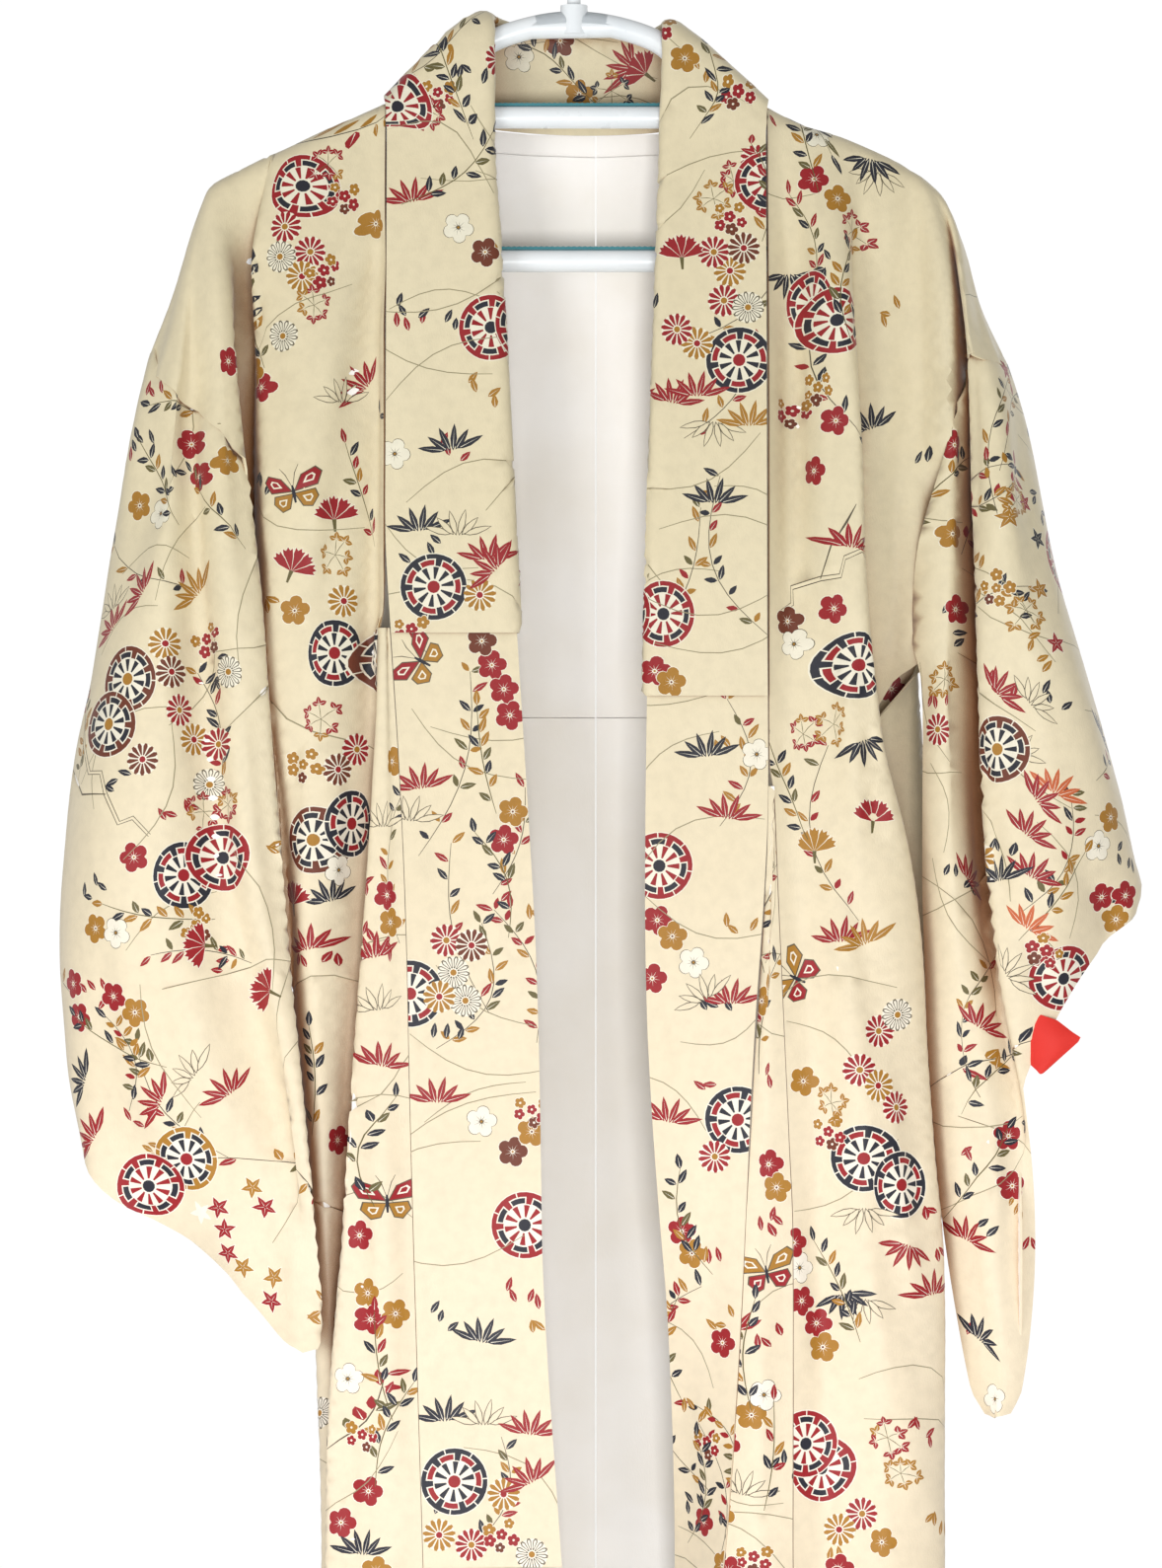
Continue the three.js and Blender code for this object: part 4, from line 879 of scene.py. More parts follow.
def plum(colour, size, seed):
    r = size / 2
    fill, edge, mark = (colour, "white", "white") if colour != "white" else ("white", "line", "line")
    parts = [(flower_outline(r), edge), (flower_outline(r - (0.45 if colour != "white" else 0.36)), fill)]
    for k in range(10):
        reach = 0.52 if k % 2 else 0.4
        parts.append((turned([(0.1 * r, -0.14), (reach * r, 0), (0.1 * r, 0.14)], 36 * k + 18), mark))
    parts.append((disc(0.15 * r, 6), mark))
    parts.append((disc(0.08 * r, 5), "ochre" if colour != "ochre" else "rust"))
    return parts


def mum(colour, size, seed):
    r, count = size / 2, 13
    parts = [(disc(r * 0.96, 16), "white")]
    petal = [(0.26, -0.035), (0.8, -0.14), (0.98, -0.07), (0.98, 0.07), (0.8, 0.14), (0.26, 0.035)]
    inner = [(0.36, -0.02), (0.8, -0.08), (0.92, 0.0), (0.8, 0.08), (0.36, 0.02)]
    for k in range(count):
        turn = 360 * k / count
        shade = "line" if colour == "white" else colour
        parts.append((turned([(x * r, y * r) for x, y in petal], turn), shade))
        if colour == "white":
            parts.append((turned([(x * r, y * r) for x, y in inner], turn), "white"))
    parts.append((disc(0.2 * r, 8), "ochre" if colour in ("crimson", "white") else "crimson"))
    return parts


def star(colour, size, seed):
    r = size / 2
    reach = (1.0, 0.62, 0.42, 0.62)
    points = [(r * reach[i % 4] * math.cos(math.pi * i / 10), r * reach[i % 4] * math.sin(math.pi * i / 10))
              for i in range(20)]
    parts = [([(x * 1.12, y * 1.12) for x, y in points], "white"), (points, colour)]
    parts += [(turned([(0.1 * r, -0.12), (0.7 * r, 0), (0.1 * r, 0.12)], 72 * k), "white") for k in range(5)]
    return parts


def bamboo(colour, size, seed):
    """Bamboo-grass leaves spread like an open hand."""
    parts = []
    for angle, share in ((-76, 1.0), (-46, 0.9), (-17, 0.95), (13, 1.0), (42, 0.9), (72, 1.05)):
        x, y = -angle / 76 * size * -0.24, abs(angle) / 76 * size * 0.06
        if colour == "white":
            parts += hollow_leaf(size * share, size * 0.27, -angle, x, y)
        else:
            parts += leaf(size * share, size * 0.25, colour, -angle, x, y)
    return parts


def fan(colour, size, seed):
    """A pink seen from the side: a half fan of toothed petals over its calyx."""
    parts = []
    for angle in (-64, -32, 0, 32, 64):
        tip = [(0, 0), (0.2, 0.55), (0.26, 0.9), (0.13, 0.84)]
        tip += [(0.06, 1.0), (-0.06, 0.86), (-0.2, 0.96), (-0.2, 0.55)]
        parts.append((turned([(x * size, y * size) for x, y in tip], angle), "white"))
        parts.append((turned([(x * size * 0.84, y * size * 0.94 + 0.3) for x, y in tip], angle), colour))
    parts.append(([(-1.2, 0.5), (1.2, 0.5), (0.6, -size * 0.45), (-0.6, -size * 0.45)], "olive"))
    return parts


def butterfly(colour, size, seed):
    other = "ochre" if colour != "ochre" else "crimson"
    upper = [(0.0, 0.02), (0.2, 0.34), (0.5, 0.46), (0.62, 0.34), (0.48, 0.08)]
    lower = [(0.0, 0.0), (0.42, 0.02), (0.46, -0.14), (0.3, -0.34), (0.12, -0.3)]
    parts = []
    for flip in (1, -1):
        for shape, paint in ((upper, colour), (lower, other)):
            wing = [(x * size * flip, y * size) for x, y in shape]
            cx, cy = sum(p[0] for p in wing) / 5, sum(p[1] for p in wing) / 5
            parts.append((wing, "line"))
            for share, shade in ((0.88, paint), (0.42, "white"), (0.26, paint)):
                parts.append(([(cx + (x - cx) * share, cy + (y - cy) * share) for x, y in wing], shade))
        feeler = [(0, 0.1 * size), (0.1 * size * flip, 0.4 * size), (0.2 * size * flip, 0.55 * size)]
        parts.append((strip(feeler, 0.5), "line"))
    parts.append((strip([(0, -0.2 * size), (0, 0.0), (0, 0.16 * size)], 2.0), "navy"))
    return parts


def sprig(colour, size, seed):
    """A bending stem with small leaves in pairs."""
    rng = np.random.default_rng(seed)
    bend = rng.uniform(-0.22, 0.22) * size
    stem = [(bend * math.sin(math.pi * i / 8), size * (i / 8 - 0.5)) for i in range(9)]
    parts = [(strip(stem, 0.6), "olive")]
    paints = [colour, "navy", "olive", colour, "ochre"]
    for k in range(1, 8):
        x, y = stem[k]
        for flip in (1, -1):
            if rng.random() < 0.3:
                continue
            paint = paints[(k + flip + seed) % 5]
            parts += leaf(rng.uniform(7, 10), 3.8, paint, -flip * rng.uniform(25, 60), x + flip * 0.8, y)
    parts += leaf(8.5, 4.0, colour, rng.uniform(-15, 15), *stem[8])
    return parts


def berries(colour, size, seed):
    """Bush-clover: little round leaves in threes on thin stalks."""
    rng = np.random.default_rng(seed)
    parts = []
    for k in range(6):
        a = 60 * k + rng.uniform(-16, 16)
        reach = size * rng.uniform(0.22, 0.46)
        x, y = turned([(0, reach)], a)[0]
        parts.append((strip([(0, 0), (x * 0.5, y * 0.5 + 0.4), (x, y)], 0.4), "olive"))
        paint = colour if rng.random() < 0.7 else "ochre"
        for turn in (-74, 0, 74):
            sx, sy = turned([(0, 0.5)], a + turn, x, y)[0]
            parts += leaf(3.9, 2.9, paint, a + turn, sx, sy)
    return parts


def bunch(colour, size, seed):
    """Small blossoms close together."""
    rng = np.random.default_rng(seed)
    parts = []
    for k in range(6):
        a, d = 60 * k + rng.uniform(-18, 18), size * (0.36 if k else 0.0)
        x, y = turned([(0, d)], a)[0]
        paint = (colour, "ochre", colour, "rust", colour, "ochre")[k]
        small = plum(paint, rng.uniform(6.5, 8.5), 0)[:2] + [(disc(0.7, 6), "white")]
        parts += [(turned(points, 0, x, y), shade) for points, shade in small]
    return parts


def leaflets(colour, size, seed):
    """A few small leaves side by side."""
    rng = np.random.default_rng(seed)
    parts = []
    for k in range(int(rng.integers(2, 5))):
        length, angle = rng.uniform(7, 9), rng.uniform(-25, 25) + 40 * (k % 2)
        parts += leaf(length, 3.6, colour, angle, 6.5 * k, rng.uniform(-3, 3))
    return parts


def spray(colour, size, seed):
    """A long thin stem with leaves here and there."""
    rng = np.random.default_rng(seed)
    bend = rng.uniform(0.08, 0.25) * size * rng.choice([-1, 1])
    stem = [(bend * math.sin(math.pi * i / 10), size * (i / 10 - 0.5)) for i in range(11)]
    parts = [(strip(stem, 0.5, 0.5), "line")]
    paints = (colour, "navy", "olive", "crimson", "ochre")
    for k in range(1, 11):
        x, y = stem[k]
        flip = rng.choice([-1, 1])
        if rng.random() < 0.8:
            paint = paints[int(rng.integers(5))]
            parts += leaf(rng.uniform(7, 10), 3.6, paint, -flip * rng.uniform(25, 65), x + flip * 0.7, y)
        if rng.random() < 0.4:
            paint = paints[int(rng.integers(5))]
            parts += leaf(rng.uniform(6, 8), 3.2, paint, flip * rng.uniform(30, 70), x - flip * 0.7, y, False)
    return parts


def branch(colour, size, seed):
    line = [(0, -0.5), (0.03, -0.36), (-0.05, -0.3), (0.04, -0.12)]
    line += [(0.12, 0.0), (0.06, 0.1), (0.16, 0.3), (0.3, 0.5)]
    line = [(x * size, y * size) for x, y in line]
    twig = [line[3], (line[3][0] - 0.12 * size, line[3][1] + 0.2 * size), (-0.1 * size, 0.42 * size)]
    return [(strip(line, 3.0, 0.6), "line"), (strip(line, 1.9, 0.6), "ground"), (strip(twig, 1.1), "line")]


def grass(colour, size, seed):
    rng = np.random.default_rng(seed)
    bend = rng.uniform(0.08, 0.2) * size * rng.choice([-1, 1])
    return [(strip(arc(size, bend), 0.6, 0.5), "grass")]


DRAW = {
    "wheel": wheel, "plum": plum, "mum": mum, "star": star, "bamboo": bamboo, "fan": fan,
    "butterfly": butterfly, "sprig": sprig, "berries": berries, "bunch": bunch, "branch": branch,
    "grass": grass, "spray": spray, "leaflets": leaflets,
}
SIZE = {
    "wheel": 36, "plum": 17.5, "mum": 18, "star": 13, "bamboo": 15, "fan": 14, "butterfly": 27, "sprig": 60,
    "berries": 20, "bunch": 20, "branch": 90, "grass": 80, "spray": 95, "leaflets": 10,
}

def placements(*texts):
    """Column and row in the photo, motif, colour and turn in degrees, from rows of words."""
    placed = []
    for row in ", ".join(texts).split(","):
        x, y, motif, *others = row.split()
        colour = others.pop(0) if others and others[0] in INK else ""
        placed.append((int(x), int(y), motif, colour, int(others[0]) if others else 0))
    return placed


# Where the print's main motifs lie on each panel as it hangs. They repeat further down and on
# the back.
PRINT = {
    "body_right": placements(
        "271 192 wheel rust, 308 195 wheel crimson 10, 383 232 plum ochre, 352 205 bunch crimson",
        "335 172 berries crimson, 292 236 mum crimson, 318 262 mum crimson 20, 287 266 mum white",
        "310 287 mum ochre, 332 280 bunch crimson 30, 290 346 mum white, 322 316 berries crimson",
        "376 398 bamboo crimson 60, 352 414 bamboo white 10, 240 372 plum crimson, 268 398 plum crimson",
        "258 384 plum ochre, 300 330 grass 20, 262 325 sprig navy 20, 303 505 butterfly crimson 20",
        "345 531 fan crimson, 372 505 sprig crimson 10, 346 566 berries ochre, 300 583 fan crimson -30",
        "352 612 mum ochre, 303 622 plum ochre, 300 520 grass -15, 343 664 wheel navy, 386 672 wheel rust",
        "330 730 berries crimson, 365 760 mum crimson, 345 780 mum rust, 312 775 bunch ochre",
        "322 850 wheel rust, 360 834 wheel navy 30, 338 912 bamboo navy 5, 345 880 plum white",
        "318 960 bamboo crimson, 330 1010 grass 10, 300 915 fan crimson, 320 1090 sprig navy",
        "345 1150 plum crimson",
    ),
    "overlap_right": placements(
        "398 735 plum crimson, 400 772 plum ochre, 392 838 bamboo white, 396 905 plum crimson",
        "399 932 plum ochre, 384 968 bamboo crimson, 388 1020 bamboo white 10, 391 1076 bamboo crimson",
        "396 1210 butterfly crimson 8, 368 1243 plum crimson, 377 1300 plum ochre, 380 1326 plum crimson",
        "404 1320 plum ochre, 396 1160 sprig navy, 357 1385 plum white, 392 1372 sprig crimson 20",
        "378 1496 plum crimson, 350 1528 plum crimson, 386 1575 plum ochre, 405 1440 sprig navy -10",
        "385 1130 grass 10, 372 1440 bunch crimson, 372 1560 bamboo navy, 362 1480 grass 30",
    ),
    "body_left": placements(
        "826 142 plum white, 823 188 plum crimson, 846 208 plum ochre, 886 178 bamboo white 175",
        "880 165 bamboo navy 160, 862 240 berries crimson, 797 282 bamboo navy 180",
        "810 255 sprig crimson 10, 820 314 wheel crimson, 846 332 wheel crimson 20, 826 398 bunch ochre",
        "800 420 bunch crimson, 842 432 plum crimson, 822 482 plum crimson, 880 440 bamboo navy 10",
        "860 300 sprig ochre -30, 815 150 sprig navy 20, 838 572 branch line -55, 841 620 plum crimson",
        "795 632 plum rust, 802 655 plum white, 858 560 bamboo crimson -20, 866 676 wheel navy",
        "812 745 berries crimson, 838 735 berries ochre, 870 750 bamboo navy 200, 880 832 fan crimson",
        "822 862 fan ochre, 795 800 sprig navy 25, 848 952 bamboo crimson, 872 955 bamboo ochre 30",
        "803 988 butterfly ochre 70, 830 1010 grass, 886 1040 mum crimson, 905 1024 mum white",
        "866 1078 mum crimson, 884 1094 mum ochre, 810 1090 plum ochre, 903 1116 mum crimson 30",
        "870 1166 wheel navy, 908 1193 wheel navy 20, 835 1140 bunch crimson, 838 1112 berries ochre",
        "915 1252 bamboo crimson 170, 870 1215 bamboo white 180, 870 1305 bamboo white 175",
        "850 1300 bamboo navy 190, 806 1275 plum white, 800 1250 plum crimson, 808 1308 plum crimson",
        "824 1331 plum crimson, 830 1355 plum ochre, 843 1300 sprig navy 15, 940 1305 bamboo crimson",
        "828 1475 wheel crimson, 812 1450 wheel crimson 30, 893 1444 berries crimson",
        "906 1480 berries ochre, 868 1520 mum crimson, 846 1536 mum ochre, 888 1548 plum ochre",
        "846 1575 plum crimson, 925 1400 grass",
    ),
    "overlap_left": placements(
        "775 1172 plum crimson, 783 1195 plum ochre, 773 1280 butterfly ochre 10, 758 1420 plum ochre",
        "770 1400 plum white, 737 1338 bamboo crimson, 748 1500 bamboo white, 760 1560 bunch crimson",
        "760 1360 sprig navy, 775 1460 sprig crimson, 770 900 grass 70, 768 1010 plum ochre",
        "735 1575 plum crimson, 730 1450 plum crimson, 722 1520 plum ochre",
    ),
    "sleeve_right": placements(
        "200 455 plum crimson, 210 488 plum crimson, 238 472 plum ochre, 143 515 plum ochre",
        "166 524 plum white, 192 425 sprig navy 10, 165 490 sprig navy -20, 225 520 sprig navy",
        "153 605 bamboo crimson, 120 640 bamboo crimson, 118 620 bamboo white -15, 208 606 bamboo ochre",
        "138 690 wheel rust, 119 735 wheel rust 20, 176 655 mum ochre, 182 683 mum rust",
        "216 650 bunch crimson, 240 683 mum white, 190 721 mum crimson, 205 750 mum ochre",
        "154 770 mum rust, 220 795 mum white, 228 755 mum crimson, 215 822 berries crimson",
        "240 815 berries crimson, 103 800 branch line 48, 146 867 plum crimson, 194 885 wheel navy",
        "233 868 wheel crimson, 165 920 sprig ochre 40, 104 938 plum ochre, 127 942 plum white",
        "82 994 plum crimson, 88 1027 plum crimson, 122 1006 plum crimson, 146 1021 plum ochre",
        "206 935 bunch ochre, 215 955 fan crimson 40, 122 1050 sprig navy 20, 206 1085 bamboo white",
        "172 1112 bamboo crimson 10, 240 1103 bamboo crimson -20, 94 1092 bamboo navy 10",
        "103 1150 bamboo crimson 20, 196 1168 wheel ochre, 157 1196 wheel crimson, 262 1196 star ochre",
        "228 1216 star crimson, 275 1216 star crimson, 234 1238 star crimson 30, 210 1222 star white",
        "252 1276 star ochre, 283 1286 star ochre, 281 1310 star crimson, 237 1262 star crimson",
        "290 1180 grass 40, 180 1060 grass 60, 160 800 grass 30, 265 930 grass 50",
        "280 1000 fan crimson 30",
    ),
    "sleeve_left": placements(
        "976 290 plum crimson, 983 312 plum ochre, 1012 380 star crimson, 962 456 plum crimson",
        "960 545 plum ochre, 955 500 sprig navy, 1036 513 star crimson, 1048 549 star navy",
        "1014 530 star ochre, 1022 512 berries ochre, 1068 575 wheel crimson, 1048 600 star ochre",
        "1060 655 star crimson, 1002 600 bunch ochre, 1030 622 berries ochre, 1000 705 bamboo crimson",
        "1034 716 bamboo white, 1018 765 bamboo white 10, 1001 760 wheel rust, 1058 805 bamboo orange 10",
        "1108 748 bamboo navy, 1030 846 bamboo crimson, 1040 812 bamboo crimson, 1116 828 plum ochre",
        "1104 856 plum white, 1111 908 plum crimson, 1133 906 plum crimson, 1125 930 plum ochre",
        "1035 888 bamboo crimson 10, 1060 905 sprig ochre, 1032 940 bamboo orange 20",
        "1069 988 wheel crimson, 1052 960 bunch crimson, 975 892 bamboo crimson, 988 868 mum ochre",
        "1002 892 bamboo navy 60, 985 1038 bamboo crimson 20, 1010 985 bamboo white",
        "1016 1146 plum crimson, 1020 1196 plum crimson, 972 1252 bamboo crimson 10, 1010 1090 sprig navy",
        "985 1352 bamboo navy, 1004 1410 plum white, 960 1110 grass 40, 948 900 grass 70",
        "945 740 mum crimson, 950 690 berries ochre, 990 1180 grass 60, 965 620 plum crimson",
        "975 1180 sprig navy",
    ),
    "collar": placements(
        "430 672 butterfly crimson 60, 500 676 plum crimson, 512 700 plum crimson, 518 726 plum crimson",
        "490 652 plum rust, 495 770 sprig ochre, 521 822 plum ochre, 512 850 plum crimson",
        "430 800 bamboo crimson, 418 832 bamboo white, 500 895 sprig navy 10, 455 950 mum crimson",
        "480 955 mum rust, 462 982 mum white, 474 1010 mum white 20, 419 1003 wheel navy",
        "448 1006 mum ochre, 446 1112 bamboo crimson, 490 1130 plum white, 521 1160 plum rust",
        "540 1140 plum ochre, 540 1118 bunch crimson, 533 1233 wheel crimson, 490 1350 bamboo navy",
        "460 1250 grass 15, 490 1060 grass -15, 454 1428 bamboo navy, 492 1432 bamboo white",
        "538 1442 bamboo crimson, 463 1487 wheel navy, 512 1500 mum ochre, 480 1550 mum crimson",
        "448 1540 mum ochre, 540 1490 bamboo crimson 30, 540 1560 mum white, 510 1540 bunch crimson",
        "715 768 bamboo navy, 764 765 plum white, 667 876 wheel crimson, 665 930 plum crimson",
        "680 946 plum ochre, 701 972 plum white, 660 988 plum crimson, 738 1014 bamboo crimson",
        "714 1010 bamboo white 20, 676 1132 bamboo crimson, 745 1128 wheel navy, 722 1165 mum crimson",
        "690 1240 plum crimson, 700 1262 plum ochre, 705 1230 sprig navy 10, 690 1360 sprig crimson",
        "730 1350 plum crimson, 715 1450 bunch crimson, 712 1530 plum crimson, 730 1570 plum ochre",
        "700 1500 sprig navy, 705 860 grass 15, 720 920 grass -10, 735 830 bamboo crimson",
    ),
    "over_collar": placements(
        "420 212 bamboo crimson, 466 237 plum white, 493 262 plum rust, 445 100 bunch crimson",
        "435 120 berries crimson 20, 405 115 wheel crimson, 462 85 sprig navy 20, 440 160 grass -25",
        "455 180 sprig navy -50, 499 338 wheel crimson, 460 462 bamboo navy, 403 465 plum white",
        "428 543 bamboo navy, 466 547 bamboo white, 497 572 bamboo crimson, 442 598 wheel navy",
        "488 606 mum ochre, 420 640 bunch crimson, 450 300 grass 10, 430 360 grass -12, 460 380 grass 15",
        "487 500 grass 20, 505 582 bamboo crimson 40, 693 66 plum ochre, 747 100 bunch crimson",
        "765 168 mum crimson, 742 190 berries crimson, 722 208 berries ochre, 738 226 bunch crimson",
        "705 95 sprig navy, 776 190 wheel crimson, 738 281 mum ochre, 722 262 mum crimson",
        "752 258 mum rust, 732 311 mum crimson, 756 318 mum white, 690 268 fan crimson",
        "747 371 wheel navy, 705 354 mum ochre, 685 340 mum crimson, 680 415 bamboo crimson",
        "705 408 bamboo crimson, 722 432 bamboo white 175, 757 438 bamboo ochre, 722 515 bamboo navy",
        "671 625 wheel crimson, 662 682 plum crimson, 679 693 plum ochre, 715 600 grass 10",
        "735 640 grass 15, 700 470 grass 20, 740 550 grass -10, 765 200 sprig crimson, 505 66 mum crimson",
        "526 58 plum white, 568 42 plum rust, 587 95 plum ochre, 655 75 fan crimson 40",
        "640 68 bamboo crimson 60, 668 32 bunch crimson, 620 92 berries navy, 548 80 sprig navy 60",
    ),
}
# What shows, in shade, of the unlined side of the left back between the body and the sleeve
SHADED_INSIDE = placements(
    "915 745 wheel rust, 905 698 plum crimson, 922 800 mum crimson, 902 850 mum rust, 925 690 sprig navy",
    "912 880 berries crimson, 918 930 plum crimson, 905 960 bunch crimson",
)
REPEAT = 630  # the print's repeat down the cloth
PHOTO_BOTTOM = 858  # drop of the photo's lower edge
GRAIN = {"sleeve_right": 47, "sleeve_left": -47}  # how far the print is turned on each sleeve


# Soft folds and dents on what faces forward: photo column and row of both ends, width and depth
# in millimetres. A trough is negative.
WIDER = 1.5
TROUGHS = 1.8
RIDGES = 1.4
CREASES = numbers(
    "398 120 330 330 9 -3, 392 200 352 470 8 -2.2, 260 200 292 430 12 -2.4, 300 350 318 560 9 2",
    "352 470 330 640 8 -2, 380 560 372 760 6 -1.8, 240 220 262 360 7 -2.2, 300 620 306 900 5 -1.6",
    "345 700 338 960 6 1.6, 228 330 262 620 10 -2.6, 214 420 240 700 9 2.2, 200 380 150 560 14 -2.2",
    "170 460 120 640 12 -2, 150 380 128 520 10 1.8, 250 640 300 1000 10 -2.8, 230 700 280 1080 11 2.4",
    "200 620 235 900 12 -2, 255 900 312 1240 9 -2.6, 180 900 250 1180 16 2.2, 150 960 215 1190 14 -2.2",
    "100 900 135 1120 12 -1.8, 280 1080 322 1320 7 -2.2, 225 1130 285 1290 10 -1.8",
    "130 1130 210 1230 9 -1.6, 790 130 812 330 7 -2.6, 835 140 850 380 9 2.2, 870 190 876 420 8 -2.2",
    "905 180 900 420 12 -2.4, 800 330 806 640 7 -2.2, 845 380 858 600 8 -1.8, 905 420 905 640 9 -2.8",
    "930 430 925 700 8 2.2, 828 620 846 860 8 -2, 870 640 886 900 6 -2.2, 800 660 815 960 6 1.8",
    "850 860 900 1100 9 -2.2, 905 1000 940 1300 8 -2.4, 838 900 868 1200 10 2, 880 1180 925 1420 9 -2",
    "820 1180 832 1400 8 -1.8, 900 1300 930 1560 10 2, 860 1380 880 1589 8 -1.8, 975 330 972 620 7 -2.4",
    "1000 350 1010 600 9 2.2, 1030 420 1045 640 10 -2, 960 600 965 900 8 -2.6, 1000 620 1040 860 11 -2.2",
    "1060 640 1110 820 12 2, 985 740 1010 980 9 -2.6, 1020 900 1050 1010 9 -1.8, 962 960 988 1240 8 -2.2",
    "990 1060 1005 1300 8 2, 968 1200 1000 1400 7 -1.8, 1080 860 1130 960 9 -1.6, 455 300 470 560 16 -1.4",
    "430 640 445 900 12 -1.6, 490 700 505 980 10 1.4, 455 980 480 1300 14 -1.6, 520 1100 535 1400 10 -1.4",
    "450 1380 470 1589 12 1.4, 720 300 712 560 14 -1.4, 700 720 712 1000 12 -1.6, 680 950 700 1250 9 1.4",
    "725 1050 716 1400 9 -1.6, 690 1350 700 1589 8 -1.4, 360 1050 372 1400 8 -2.2",
    "392 1130 402 1500 9 1.8, 350 1380 362 1589 7 -1.8, 765 860 757 1200 6 -1.8, 770 1250 760 1589 8 1.6",
)
# The same kind of folds on the back: x and drop of both ends, width, depth
BACK_CREASES = numbers(
    "-60 90 -84 420 14 -2.4, -28 120 -40 620 16 2.2, -120 110 -126 520 12 -2.6, 30 100 52 500 15 -2.4",
    "78 90 92 640 13 2.2, 120 120 142 560 12 -2.4, -90 480 -98 1100 14 -2.2, -30 700 -18 1500 15 -2",
    "60 640 70 1300 14 -2.2, 110 700 130 1450 12 2, -70 1000 -60 1640 16 2, 20 900 34 1640 13 -1.8",
    "-190 260 -180 560 9 -2.4, -215 300 -200 600 10 2.2, -240 340 -225 600 9 -2, 212 300 222 600 9 -2.4",
    "240 300 246 520 10 2.2, 268 320 262 500 9 -2, 165 200 178 420 12 -2.2, -160 200 -150 460 12 2",
    "150 900 160 1600 12 -2",
)


def crease_shift(x, drop, rows):
    """How far a point moves along its normal for the creases near it."""
    shift = np.zeros(len(x))
    for ax, ad, bx, bd, width, depth in rows:
        dx, dd = bx - ax, bd - ad
        t = np.clip(((x - ax) * dx + (drop - ad) * dd) / (dx * dx + dd * dd), 0, 1)
        away = np.hypot(x - ax - t * dx, drop - ad - t * dd)
        near = smooth_step(1 - away / (WIDER * width)) * np.sin(np.pi * np.clip(t, 0.03, 0.97)) ** 0.6
        shift += (TROUGHS if depth < 0 else RIDGES) * depth * near
    return shift


FRONT_ROWS = [(*from_photo(a, b), *from_photo(c, d), width, depth) for a, b, c, d, width, depth in CREASES]
# Folds of the same kind below the photo's edge
LOWER_ROWS = [(a * 0.96, b + 780, c * 0.94, d + 800, w, -h) for a, b, c, d, w, h in FRONT_ROWS if d < 700]


WAVES = 0.9


def slow_waves(p):
    """Gentle unevenness of hung cloth, the same for neighbouring panels at their seam."""
    x, y, z = p[:, 0], p[:, 1], p[:, 2]
    wave = 0.5 * np.sin(x / 17 + 0.9 * np.sin(z / 93)) * np.sin(z / 71 + 1.3)
    wave += 0.35 * np.sin(x / 9 + z / 160 + 2 * np.sin(z / 210)) * np.sin(z / 47 + x / 60)
    return wave + 0.12 * np.sin(x / 4.5 + z / 24) * np.sin(z / 13 - x / 15 + y / 10)


def inside(outline, u, v):
    """Which points lie inside an outline."""
    found = np.zeros(len(u), bool)
    for (ax, ay), (bx, by) in zip(outline, outline[1:] + outline[:1]):
        if ay == by:
            continue
        crosses = (ay > v) != (by > v)
        found ^= crosses & (u < ax + (v - ay) * (bx - ax) / (by - ay))
    return found


def lattice(surface, outline, across=5.6, down=10.5):
    """Staggered points over a sheet, with extra ones beside each fold line."""
    columns = []
    for a, b in zip(surface.u, surface.u[1:]):
        count = max(1, round((b - a) / (across if b - a > 4 else 1.2)))
        columns += [a + (b - a) * i / count for i in range(count)]
        if b - a > 7:
            columns += [a + 2.2, b - 2.2]
    columns = np.array(sorted(columns + [surface.u[-1]]))
    low, high = min(p[1] for p in outline), max(p[1] for p in outline)
    rows = np.arange(low, high, down)
    u, v = np.meshgrid(columns, rows)
    v = v + (np.arange(len(columns)) % 2)[None, :] * down / 2
    u, v = u.ravel(), v.ravel()
    keep = np.ones(len(u), bool)
    for du, dv in ((1.6, 0), (-1.6, 0), (0, 2), (0, -2)):
        keep &= inside(outline, u + du, v + dv)
    return u[keep], v[keep]


FARTHEST = 22  # a motif farther than this from the panel is left off it


